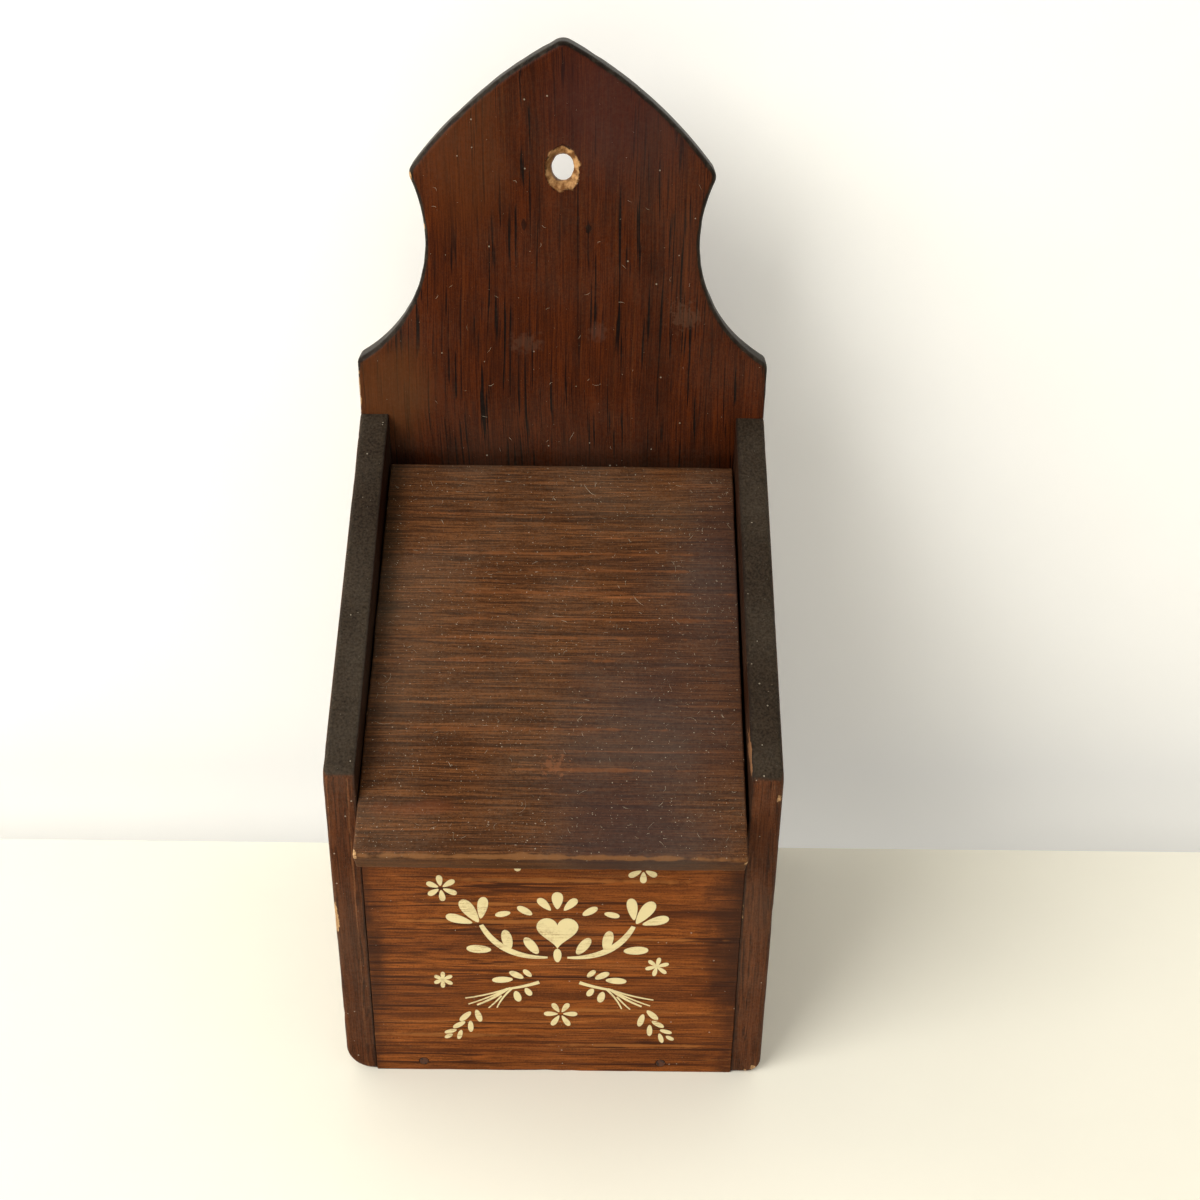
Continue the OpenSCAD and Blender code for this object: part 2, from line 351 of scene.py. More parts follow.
def tube(solid, rings):
    """Faces between closed rings of points, and over both ends."""
    for a, b in zip(rings, rings[1:]):
        for i in range(len(a)):
            j = (i + 1) % len(a)
            solid.faces.new((a[i], a[j], b[j], b[i]))
    solid.faces.new(rings[0])
    solid.faces.new(rings[-1])


def arc(centre, radius, start, end, step=1.5 * MM):
    """Points of an arc from one heading to another, in degrees."""
    count = max(2, math.ceil(abs(math.radians(end - start)) * radius / step))
    headings = [math.radians(start + (end - start) * i / count) for i in range(count + 1)]
    return [Vector((centre[0] + radius * math.cos(a), centre[1] + radius * math.sin(a)))
            for a in headings]


def heading(vector):
    """Direction of a flat vector in degrees."""
    return math.degrees(math.atan2(vector[1], vector[0]))


def circles_meet(a, ra, b, rb):
    """The crossing of two circles that lies left of the way from a to b."""
    way = b - a
    span = way.length
    along = (span * span + ra * ra - rb * rb) / (2 * span)
    aside = math.sqrt(ra * ra - along * along)
    return a + (along * way + aside * Vector((-way.y, way.x))) / span


# Boards

def crest_outline(crest, half_w):
    """Half of the back board's outline, from the foot up to the point."""
    fine = 0.6 * MM
    peak = Vector((0, crest.top))
    cusp = Vector((crest.cusp_w / 2, crest.cusp_z))
    chord = cusp - peak
    sag = math.sqrt(crest.arch_r ** 2 - chord.length_squared / 4)
    arch_c = (peak + cusp) / 2 + Vector((chord.y, -chord.x)) * sag / chord.length
    neck_c = Vector((crest.neck_w / 2 + crest.neck_r, crest.neck_z))
    shoulder_x = half_w - crest.shoulder_round
    drop = math.sqrt((crest.neck_r + crest.shoulder_round) ** 2 - (neck_c.x - shoulder_x) ** 2)
    shoulder_c = Vector((shoulder_x, crest.neck_z - drop))
    cusp_c = circles_meet(arch_c, crest.arch_r - crest.cusp_round,
                          neck_c, crest.neck_r + crest.cusp_round)
    rise = math.sqrt((crest.arch_r - crest.peak_round) ** 2 - arch_c.x ** 2)
    peak_c = Vector((0, arch_c.y + rise))
    to_shoulder = heading(shoulder_c - neck_c)
    to_cusp = heading(cusp_c - neck_c)
    arch_from = heading(cusp_c - arch_c)
    arch_to = heading(peak_c - arch_c)
    points = [Vector((half_w, BACK_LOW.z))]
    points += arc(shoulder_c, crest.shoulder_round, 0, to_shoulder + 180, fine)
    neck_end = to_cusp + (360 if to_cusp < 0 else 0)
    points += arc(neck_c, crest.neck_r, to_shoulder + 360, neck_end)[1:]
    points += arc(cusp_c, crest.cusp_round, to_cusp - 180, arch_from, fine)[1:]
    points += arc(arch_c, crest.arch_r, arch_from, arch_to)[1:]
    points += arc(peak_c, crest.peak_round, arch_to, 90, fine)[1:]
    return points


def back_outline(crest):
    """Closed outline of the back board, in X and Z."""
    half = crest_outline(crest, BACK_HIGH.x)
    mirrored = [Vector((-point.x, point.y)) for point in reversed(half)]
    return half + mirrored[1:]


def side_outline(boards):
    """Closed outline of a side board, in Y and Z."""
    rise = (SIDE_HIGH.z - boards.side_front_h) / (SIDE_HIGH.y - SIDE_LOW.y)
    slope = math.atan(rise)
    radius = boards.side_top_round
    centre = (SIDE_LOW.y + radius, boards.side_front_h + radius * rise - radius / math.cos(slope))
    corner = arc(centre, radius, 90 + math.degrees(slope), 180, 0.6 * MM)
    foot = [Vector((SIDE_LOW.y, SIDE_LOW.z)), Vector((SIDE_HIGH.y, SIDE_LOW.z))]
    return foot + [Vector((SIDE_HIGH.y, SIDE_HIGH.z))] + corner


def prism(outline, axis, low, high):
    """A closed solid: an outline carried along X or Y."""
    def place(point, reach):
        return (reach, point[0], point[1]) if axis == "X" else (point[0], reach, point[1])
    solid = bmesh.new()
    near = [solid.verts.new(place(point, low)) for point in outline]
    far = [solid.verts.new(place(point, high)) for point in outline]
    solid.faces.new(near)
    solid.faces.new(far)
    for i in range(len(outline)):
        j = (i + 1) % len(outline)
        solid.faces.new((near[i], near[j], far[j], far[i]))
    bmesh.ops.recalc_face_normals(solid, faces=solid.faces)
    return solid


def round_foot(solid, x, z, radius):
    """Rounds the lower outer edge of a side board, before its other edges."""
    foot = [edge for edge in solid.edges
            if all(abs(vert.co.x - x) < NEAR and abs(vert.co.z - z) < NEAR for vert in edge.verts)]
    bmesh.ops.bevel(solid, geom=foot, offset=radius, segments=10, profile=0.5, affect="EDGES",
                    offset_type="OFFSET", clamp_overlap=False)


def ease_edges(solid, arris_of, segments=6):
    """Rounds every corner edge by the radius that arris_of gives for it."""
    weight = solid.edges.layers.float.new("bevel_weight_edge")
    sharp = [edge for edge in solid.edges if edge.calc_face_angle(0) > CORNER_ANGLE]
    radii = [arris_of(edge) for edge in sharp]
    widest = max(radii)
    for edge, radius in zip(sharp, radii):
        edge[weight] = radius / widest
    mesh = mesh_of(solid, "eased")
    mesh.materials.append(None)
    mesh.materials.append(None)
    return modified(mesh, "BEVEL", width=widest, segments=segments, limit_method="WEIGHT",
                    use_clamp_overlap=False, material=1, offset_type="OFFSET")


def slice_mesh(solid, step):
    """Cuts a mesh along evenly spaced planes on all three axes."""
    for axis in range(3):
        spots = [vert.co[axis] for vert in solid.verts]
        low, high = min(spots), max(spots)
        count = round((high - low) / step)
        normal = Vector((axis == 0, axis == 1, axis == 2))
        for i in range(1, count):
            place = normal * (low + (high - low) * i / count)
            everything = solid.verts[:] + solid.edges[:] + solid.faces[:]
            bmesh.ops.bisect_plane(solid, geom=everything, dist=1e-6, plane_co=place,
                                   plane_no=normal)


def keep_inside(solid, low, high):
    """Moves the points that lie past a box onto its faces."""
    for vert in solid.verts:
        for axis in range(3):
            vert.co[axis] = min(max(vert.co[axis], low[axis]), high[axis])


def wear_edges(solid, depth, seed):
    """Marks how near each point is to an eased edge, and dents those edges."""
    near_edge = solid.verts.layers.float.new("arris")
    rim = {vert for face in solid.faces if face.material_index == 1 for vert in face.verts}
    tree = KDTree(len(rim))
    for index, vert in enumerate(rim):
        tree.insert(vert.co, index)
    tree.balance()
    shift = Vector((seed * 3.7, seed * 1.3, seed * 2.1))
    solid.normal_update()
    for vert in solid.verts:
        distance = tree.find(vert.co)[2]
        vert[near_edge] = math.exp(-distance / WEAR_REACH)
        broad = noise.noise(vert.co * BROAD_DENTS + shift)
        fine = noise.noise(vert.co * FINE_DENTS + shift)
        dent = max(0, broad + 0.6 * fine) * vert[near_edge] * depth
        wave = noise.noise(vert.co * WAVES + shift) * WAVE_DEPTH * MM
        vert.co -= vert.normal * (dent + max(0, wave))
    for face in solid.faces:
        face.material_index = 0
        face.smooth = True


def board_mesh(outline, axis, low, high, arris_of, finish, seed, cutters=None, place=None,
               foot=None):
    """A board: outline, eased and worn edges, and cut-outs for nails or a hole."""
    boards = bpy.context.scene.salt_box_boards
    raw = prism(outline, axis, low, high)
    box = [[pick(vert.co[i] for vert in raw.verts) for i in range(3)] for pick in (min, max)]
    if foot:
        round_foot(raw, *foot)
    solid = solid_of(ease_edges(raw, arris_of))
    slice_mesh(solid, boards.mesh_step)
    wear_edges(solid, boards.edge_wear, seed)
    keep_inside(solid, *box)
    if place:
        solid.transform(place)
    mesh = mesh_of(solid, "board")
    if cutters:
        tool = linked("cutter", cutters)
        solid = solid_of(modified(mesh, "BOOLEAN", object=tool, operation="DIFFERENCE",
                                  solver="EXACT"))
        bpy.data.objects.remove(tool)
        bmesh.ops.remove_doubles(solid, verts=solid.verts, dist=WELD)
        bmesh.ops.dissolve_degenerate(solid, edges=solid.edges, dist=SHORTEST_EDGE)
        mesh = mesh_of(solid, "board")
    mesh.materials.append(material(finish))
    mesh.set_sharp_from_angle(angle=SHARP_ANGLE)
    return mesh


def nail_pockets(spots, outward, head_r):
    """Shallow round pockets for nail heads, at points of a face."""
    tool = bmesh.new()
    turned = Vector((0, 0, 1)).rotation_difference(outward).to_matrix().to_4x4()
    for spot in spots:
        bmesh.ops.create_cone(tool, cap_ends=True, segments=20, radius1=head_r * POCKET_FLOOR,
                              radius2=head_r * POCKET_RIM, depth=2 * POCKET_DEPTH,
                              matrix=Matrix.Translation(spot) @ turned)
    return mesh_of(tool, "pockets")


def hole_cutter(crest, around=56):
    """A ragged cutter for the hanging hole: straight inside, torn at both faces."""
    thick = BACK_HIGH.y - BACK_LOW.y
    tool = bmesh.new()
    loops = []
    for depth, flare in HOLE_FLARES:
        loop = []
        for i in range(around):
            angle = 2 * math.pi * i / around
            lie = Vector((math.cos(angle), math.sin(angle), 0))
            rough = noise.noise(lie * 1.6 + Vector((0, 0, depth * 2.2)))
            rough += 0.5 * noise.noise(lie * 5.5)
            below = 1.0 + 0.55 * max(0, -math.sin(angle))
            torn = crest.hole_flare * flare * below * (1 + 0.3 * rough)
            radius = crest.hole_r * (1 + 0.06 * rough) + torn
            centre_z = crest.hole_z + crest.hole_slant * (0.5 - depth)
            loop.append(tool.verts.new((radius * math.cos(angle), BACK_LOW.y + depth * thick,
                                        centre_z + radius * crest.hole_tall * math.sin(angle))))
        loops.append(loop)
    tube(tool, loops)
    face_out(tool)
    return mesh_of(tool, "hole")


def joint_heights(nails, top):
    """Heights of the nails in an upright joint."""
    gap = (top - nails.high - nails.low) / (nails.count - 1)
    return [nails.low + i * gap for i in range(nails.count)]


# Node trees

def fill(tree, node, inputs):
    """Sets or links the inputs of a node."""
    for key, value in inputs.items():
        if isinstance(value, bpy.types.NodeSocket):
            tree.links.new(value, node.inputs[key])
        else:
            node.inputs[key].default_value = value
    return node


def put(tree, kind, inputs=None, **settings):
    """Adds a node, sets its options and fills or links its inputs."""
    added = tree.nodes.new(kind)
    for key, value in settings.items():
        setattr(added, key, value)
    return fill(tree, added, inputs or {})


def calc(tree, operation, a, b=0.0, clamp=False):
    """A math node's result."""
    inputs = {0: a, 1: b}
    return put(tree, "ShaderNodeMath", inputs, operation=operation, use_clamp=clamp).outputs[0]


def plus(tree, a, b):
    """Sum of two values."""
    return calc(tree, "ADD", a, b)


def times(tree, a, b):
    """Product of two values."""
    return calc(tree, "MULTIPLY", a, b)


def weighted(tree, a, share_a, b, share_b):
    """Sum of two values, each times its share."""
    return plus(tree, times(tree, a, share_a), times(tree, b, share_b))


def vector(tree, x=0.0, y=0.0, z=0.0):
    """A vector from three values."""
    return put(tree, "ShaderNodeCombineXYZ", {0: x, 1: y, 2: z}).outputs[0]


def split(tree, value):
    """The three values of a vector."""
    return put(tree, "ShaderNodeSeparateXYZ", {0: value}).outputs


def vector_calc(tree, operation, a, b):
    """A vector math node's result."""
    return put(tree, "ShaderNodeVectorMath", {0: a, 1: b}, operation=operation).outputs[0]


def ramp(tree, value, low, high, to_low=0.0, to_high=1.0):
    """Smooth step of a value between two limits."""
    inputs = {"Value": value, "From Min": low, "From Max": high, "To Min": to_low,
              "To Max": to_high}
    step = put(tree, "ShaderNodeMapRange", inputs, interpolation_type="SMOOTHSTEP")
    return step.outputs["Result"]


def blend(tree, factor, a, b, mode="MIX"):
    """Mix of two colours, each a socket or a screen colour."""
    a, b = (tone if isinstance(tone, bpy.types.NodeSocket) else linear(tone) for tone in (a, b))
    inputs = {0: factor, 6: a, 7: b}
    return put(tree, "ShaderNodeMix", inputs, data_type="RGBA", blend_type=mode).outputs[2]


def cloud(tree, spot, scale, detail=3.0, roughness=0.55):
    """Noise of a stretched vector; scale is per metre, one for all axes or one for each."""
    if isinstance(scale, int):
        scale = (scale, scale, scale)
    stretched = vector_calc(tree, "MULTIPLY", spot, scale)
    inputs = {"Vector": stretched, "Scale": 1.0, "Detail": detail, "Roughness": roughness}
    return put(tree, "ShaderNodeTexNoise", inputs).outputs["Fac"]


def relief(tree, height, strength, distance):
    """Normal of an uneven surface."""
    inputs = {"Height": height, "Strength": strength, "Distance": distance}
    return put(tree, "ShaderNodeBump", inputs).outputs["Normal"]


def group(name, inputs, outputs):
    """An empty shader node group with named sockets."""
    tree = bpy.data.node_groups.new(name, "ShaderNodeTree")
    for label, default in {"Vector": (0, 0, 0), **inputs}.items():
        kind = "NodeSocketVector" if isinstance(default, tuple) else "NodeSocketFloat"
        socket = tree.interface.new_socket(label, in_out="INPUT", socket_type=kind)
        socket.default_value = default
    for label in outputs:
        tree.interface.new_socket(label, in_out="OUTPUT", socket_type="NodeSocketFloat")
    return tree, tree.nodes.new("NodeGroupInput").outputs, tree.nodes.new("NodeGroupOutput")


def use(tree, name, inputs):
    """Places a node group in a material and gives its outputs."""
    return put(tree, "ShaderNodeGroup", inputs, node_tree=bpy.data.node_groups[name]).outputs


def make_grain_group():
    """Wood grain that runs along the first axis of its vector."""
    tree, given, result = group("Wood grain", {"Pore length": 0.012, "Seed": 0.0},
                                ["Tone", "Fibre", "Pore", "Line"])
    shift = vector(tree, given["Seed"], given["Seed"])
    spot = vector_calc(tree, "ADD", given["Vector"], shift)
    sway = cloud(tree, spot, (9, 30, 30), 1.0)
    bent = vector_calc(tree, "ADD", spot, vector(tree, 0.0, times(tree, sway, 0.006)))
    fibre = cloud(tree, bent, (70, 2300, 2300), 3.0, 0.7)
    grit = cloud(tree, given["Vector"], (1700, 2600, 2600), 2.0, 0.6)
    reach = calc(tree, "DIVIDE", 1.0, given["Pore length"])
    squeeze = vector(tree, reach, 1000.0, 1000.0)
    dashes = ramp(tree, cloud(tree, bent, squeeze, 1.5), 0.57, 0.63)
    belts = ramp(tree, cloud(tree, bent, (6, 170, 170), 2.0), 0.38, 0.5)
    fill(tree, result, {
        "Tone": cloud(tree, bent, (7, 110, 110), 5.0, 0.68),
        "Fibre": weighted(tree, fibre, 0.7, grit, 0.3),
        "Pore": times(tree, dashes, belts),
        "Line": ramp(tree, cloud(tree, bent, (5, 620, 620), 2.0), 0.62, 0.72),
    })


def make_bare_group():
    """Where worn edges have lost their stain."""
    tree, given, result = group("Bare edge", {"Arris": 0.0, "Amount": 0.3}, ["Mask"])
    broad = cloud(tree, given["Vector"], 60)
    fine = cloud(tree, given["Vector"], 700, 2.0)
    rough = weighted(tree, broad, 0.9, fine, 0.35)
    reached = plus(tree, times(tree, rough, given["Arris"]), given["Amount"])
    edge_only = ramp(tree, given["Arris"], 0.55, 0.95)
    fill(tree, result, {"Mask": times(tree, ramp(tree, reached, 0.93, 1.0), edge_only)})


def make_spot_group():
    """A soft patch with a ragged rim, at a place on the object."""
    tree, given, result = group("Patch", {
        "Centre": (0, 0, 0), "Reach": (0.01, 0.01, 0.01), "Ragged": 0.4, "Grit": 300.0,
        "Soft": 0.3}, ["Mask"])
    away = vector_calc(tree, "SUBTRACT", given["Vector"], given["Centre"])
    scaled = vector_calc(tree, "DIVIDE", away, given["Reach"])
    far = put(tree, "ShaderNodeVectorMath", {0: scaled}, operation="LENGTH").outputs["Value"]
    scale = vector(tree, given["Grit"], given["Grit"], given["Grit"])
    grit = calc(tree, "SUBTRACT", cloud(tree, given["Vector"], scale), 0.5)
    rim = plus(tree, far, times(tree, grit, times(tree, given["Ragged"], 4.0)))
    outside = plus(tree, 0.9, given["Soft"])
    inside = calc(tree, "SUBTRACT", 0.9, given["Soft"])
    fill(tree, result, {"Mask": ramp(tree, rim, outside, inside)})


def make_dust_group():
    """A thin veil of dust and scattered pale specks."""
    tree, given, result = group("Dust", {"Speck spacing": 0.002, "Sparse": 0.5},
                                ["Veil", "Speck"])
    broad = cloud(tree, given["Vector"], 28, 4.0)
    fine = cloud(tree, given["Vector"], 900, 2.0)
    veil = weighted(tree, broad, 0.75, fine, 0.35)
    per_metre = calc(tree, "DIVIDE", 1.0, given["Speck spacing"])
    cells = put(tree, "ShaderNodeTexVoronoi", {"Vector": given["Vector"], "Scale": per_metre})
    chosen = put(tree, "ShaderNodeSeparateColor", {0: cells.outputs["Color"]}).outputs[0]
    size = ramp(tree, chosen, given["Sparse"], 1.0, 0.0, 0.12)
    fill(tree, result, {"Veil": ramp(tree, veil, 0.42, 0.75),
                        "Speck": calc(tree, "LESS_THAN", cells.outputs["Distance"], size)})


def new_finish(name):
    """A new material, its tree, its shader and its texture coordinates."""
    finish = bpy.data.materials.new(name)
    finish.use_nodes = True
    tree = finish.node_tree
    coords = put(tree, "ShaderNodeTexCoord").outputs
    return finish, tree, tree.nodes["Principled BSDF"], coords


class WoodMaterial:
    """Builds one stained wood: grain, then stains, wear and dust on top."""

    def __init__(self, name, grain, tones, seed, pore_length=0.012, spread=0.55, lines=0.6,
                 rough_grain=0.4):
        self.material, self.tree, self.shader, coords = new_finish(name)
        self.colours = bpy.context.scene.salt_box_colours
        self.spot = coords["Object"]
        self.normal = split(self.tree, coords["Normal"])
        self.axes = split(self.tree, self.spot)
        order = {"X": (0, 1, 2), "Z": (2, 0, 1)}[grain]
        self.along = vector(self.tree, *(self.axes[axis] for axis in order))
        inputs = {"Vector": self.along, "Pore length": pore_length, "Seed": seed}
        self.grain = use(self.tree, "Wood grain", inputs)
        self.arris = put(self.tree, "ShaderNodeAttribute", attribute_name="arris").outputs["Fac"]
        dark, middle, light = tones
        tone = ramp(self.tree, self.grain["Tone"], 0.3, 0.7, 1 - spread, 1.0)
        self.colour = blend(self.tree, tone, dark, middle)
        self.cover(self.grain["Line"], light, lines)
        fibre = ramp(self.tree, self.grain["Fibre"], 0.39, 0.61, 1 - rough_grain, 1 + rough_grain)
        shade = put(self.tree, "ShaderNodeCombineColor", {0: fibre, 1: fibre, 2: fibre}).outputs[0]
        self.colour = blend(self.tree, 1.0, self.colour, shade, "MULTIPLY")
        self.height = times(self.tree, self.grain["Fibre"], 0.5)

    def cover(self, mask, colour, strength=1.0):
        """Lays a colour over the wood where the mask is 1."""
        self.colour = blend(self.tree, times(self.tree, mask, strength), self.colour, colour)

    def pores(self, colour, strength):
        """Dark dashes of open pores."""
        self.cover(self.grain["Pore"], colour, strength)
        hollow = times(self.tree, self.grain["Pore"], strength * 0.8)
        self.height = calc(self.tree, "SUBTRACT", self.height, hollow)

    def patch(self, colour, centre, reach, strength=1.0, ragged=0.4, grit=300.0, soft=0.06):
        """A local stain or a bare place; centre and reach are in millimetres."""
        mask = use(self.tree, "Patch", {
            "Vector": self.spot, "Centre": Vector(centre) * MM, "Reach": Vector(reach) * MM,
            "Ragged": ragged, "Grit": grit, "Soft": soft})["Mask"]
        self.cover(mask, colour, strength)

    def patches(self, *marks):
        """Several patches, each with the values that patch takes."""
        for mark in marks:
            self.patch(*mark)

    def bare(self):
        """Colour of the wood where its stain is gone."""
        tone = ramp(self.tree, self.grain["Fibre"], 0.3, 0.72)
        return blend(self.tree, tone, self.colours.bare_dark, self.colours.bare_light)

    def worn_edges(self, amount, colour=None):
        """Pale or coloured wear along the eased edges."""
        inputs = {"Vector": self.spot, "Arris": self.arris, "Amount": amount}
        self.cover(use(self.tree, "Bare edge", inputs)["Mask"], colour or self.bare())

    def dusty(self, veil, speck, spacing=0.002, sparse=0.5):
        """Dust veil and specks over everything."""
        inputs = {"Vector": self.spot, "Speck spacing": spacing, "Sparse": sparse}
        dust = use(self.tree, "Dust", inputs)
        self.cover(dust["Veil"], self.colours.dust, veil)
        self.cover(dust["Speck"], self.colours.dust, speck)

    def finish(self, rough_low, rough_high, depth, gloss=0.07):
        """Links colour, roughness and bump to the shader."""
        fill(self.tree, self.shader, {
            "Base Color": self.colour, "Specular IOR Level": gloss,
            "Roughness": ramp(self.tree, self.grain["Fibre"], 0.25, 0.75, rough_low, rough_high),
            "Normal": relief(self.tree, self.height, 0.6, depth)})
        return self.material


def back_wood(colours):
    """Red-brown stain with dark pore dashes, dark end grain, a few marks and painted shade inside
    the box.
    """
    tones = (colours.back_dark, colours.back_mid, colours.back_light)
    wood = WoodMaterial("back_stain", "Z", tones, 0.0, 0.03, 0.5, 0.35, 0.42)
    tree = wood.tree
    wood.pores((16, 6, 3), 1.0)
    wood.patches(
        ((62, 32, 28), (20, 52, 298), (28, 30, 24), 0.6, 0.2, 40, 0.5),
        ((96, 52, 22), (-32, 52, 285), (16, 30, 30), 0.35, 0.2, 40, 0.5),
        ((96, 56, 24), (-58, 52, 200), (14, 30, 18), 0.5, 0.25, 40, 0.5),
        ((88, 60, 44), (40.8, 52, 228.6), (4.2, 8, 4.6), 0.45, 1.0, 700, 0.4),
        ((92, 66, 52), (-12.5, 52, 219), (5, 8, 3.2), 0.3, 0.8, 500, 0.5),
        ((96, 66, 54), (12, 52, 223), (3.4, 8, 3.0), 0.28, 0.8, 500, 0.5),
        ((12, 6, 4), (8.4, 52, 258.0), (1.1, 4, 1.7), 0.8, 0.7, 500),
        ((12, 6, 4), (-12.5, 52, 258.8), (0.7, 4, 2.4), 0.7, 0.5, 500))
    # Painted shade: the back board's inner face below the lid, inside the box, is darkened.
    low = ramp(tree, wood.axes[2], 0.19, 0.172)
    inside = times(tree, low, ramp(tree, wood.axes[1], 0.055, 0.0525))
    wood.cover(inside, (26, 9, 3), 0.65)
    facing = calc(tree, "ABSOLUTE", wood.normal[1])
    uneven = times(tree, cloud(tree, wood.spot, 160), 0.2)
    edge = ramp(tree, plus(tree, facing, uneven), 1.06, 0.92)
    ends = times(tree, edge, ramp(tree, wood.axes[2], 0.196, 0.203))
    dusky = ramp(tree, cloud(tree, wood.spot, 500), 0.4, 0.75)
    wood.cover(ends, blend(tree, dusky, (20, 16, 11), colours.grime), 0.93)
    wood.worn_edges(0.1)
    scored = ramp(tree, cloud(tree, wood.spot, (420, 90, 420)), 0.35, 0.65)
    torn = blend(tree, scored, (112, 72, 38), (200, 154, 102))
    wood.patches(
        (torn, (0, 52, 276.8), (6.2, 30, 7.8), 1, 0.12, 350, 0.05),
        ((84, 48, 22), (-1.6, 52, 277.6), (4.2, 30, 5.4), 0.6, 0.3, 400, 0.25),
        (wood.bare(), (-49.3, 52, 273), (0.9, 3, 3.5), 1, 0.3, 500),
        (wood.bare(), (-45.4, 52, 257.5), (0.8, 3, 1.4), 1, 0.3, 500),
        (wood.bare(), (-69.9, 52, 203), (0.7, 2, 9), 0.7, 0.5, 400))
    wood.dusty(0.02, 0.45, 0.0024, 0.86)
    return wood.finish(0.36, 0.48, 0.00012, 0.06)


def side_wood(colours):
    """Stained sides: dusty black slopes, red-brown front edges, worn outer edges and painted shade
    on the inner faces.
    """
    tones = (colours.side_dark, colours.side_mid, colours.side_light)
    wood = WoodMaterial("side_stain", "Z", tones, 3.1, 0.009)
    tree = wood.tree
    wood.pores((30, 14, 8), 0.6)
    wobble = calc(tree, "SUBTRACT", times(tree, cloud(tree, wood.spot, 90), 0.3), 0.15)
    slope = ramp(tree, plus(tree, wood.normal[2], wobble), 0.3, 0.62)
    speckle = ramp(tree, cloud(tree, wood.spot, 1400), 0.3, 0.7)
    wood.cover(slope, blend(tree, speckle, (26, 21, 15), (55, 46, 35)), 0.95)
    # Painted shade: the inner faces of the sides, inside the box and beside the lid, are darkened.
    inner = ramp(tree, calc(tree, "ABSOLUTE", wood.axes[0]), 0.0612, 0.0602)
    wood.cover(inner, (24, 13, 8), 0.75)
    wood.worn_edges(0.13)
    wood.patches(
        (wood.bare(), (-69.8, -62, 65), (1.3, 3, 7), 1, 0.35, 400),
        (wood.bare(), (67.4, -62, 2.6), (1.2, 2, 1.1), 1, 0.4, 500),
        ((142, 100, 68), (60.1, -55, 125), (0.3, 10, 4.5), 0.8, 0.7, 500))
    wood.dusty(0.04, 0.5, 0.0022, 0.72)
    return wood.finish(0.45, 0.6, 0.00012)


def front_wood(colours):
    """Warm front board with golden lines, darker ends and painted shade under the lid's lip."""
    tones = (colours.front_dark, colours.front_mid, colours.front_light)
    wood = WoodMaterial("front_stain", "X", tones, 7.7, 0.05, 0.75, 0.45, 0.45)
    tree = wood.tree
    wood.pores((44, 19, 7), 0.8)
    ends = ramp(tree, calc(tree, "ABSOLUTE", wood.axes[0]), 0.05, 0.0605)
    ragged = ramp(tree, cloud(tree, wood.spot, (120, 60, 90)), 0.3, 0.65)
    wood.cover(times(tree, ends, ragged), (50, 24, 12), 0.75)
    streaks = ramp(tree, cloud(tree, wood.along, (9, 420, 420)), 0.52, 0.66)
    wood.cover(streaks, (62, 28, 10), 0.6)
    wood.patches(
        ((40, 19, 10), (58, -62, 56), (10, 10, 30), 0.6, 0.4, 110, 0.45),
        ((40, 19, 10), (-60, -62, 50), (5, 10, 26), 0.5, 0.4, 110, 0.45))
    for x, z, reach, tall in (
            (2, 81.5, 34, 0.9), (-30, 64.8, 28, 0.7), (12, 27.5, 24, 0.8), (-20, 72, 22, 0.6),
            (30, 58, 20, 0.6), (-36, 16, 22, 0.7), (26, 12, 24, 0.7)):
        wood.patch((158, 98, 46), (x, -62, z), (reach, 8, tall), 0.6, 0.6, 130, 0.35)
    # Painted shade: the top of the front board, under the lid's overhanging lip, is darkened.
    wood.cover(ramp(tree, wood.axes[2], 0.0855, 0.095), (52, 26, 12), 0.5)
    wood.worn_edges(0.05)
    wood.dusty(0.01, 0.4, 0.0026, 0.9)
    return wood.finish(0.36, 0.5, 0.0001, 0.08)


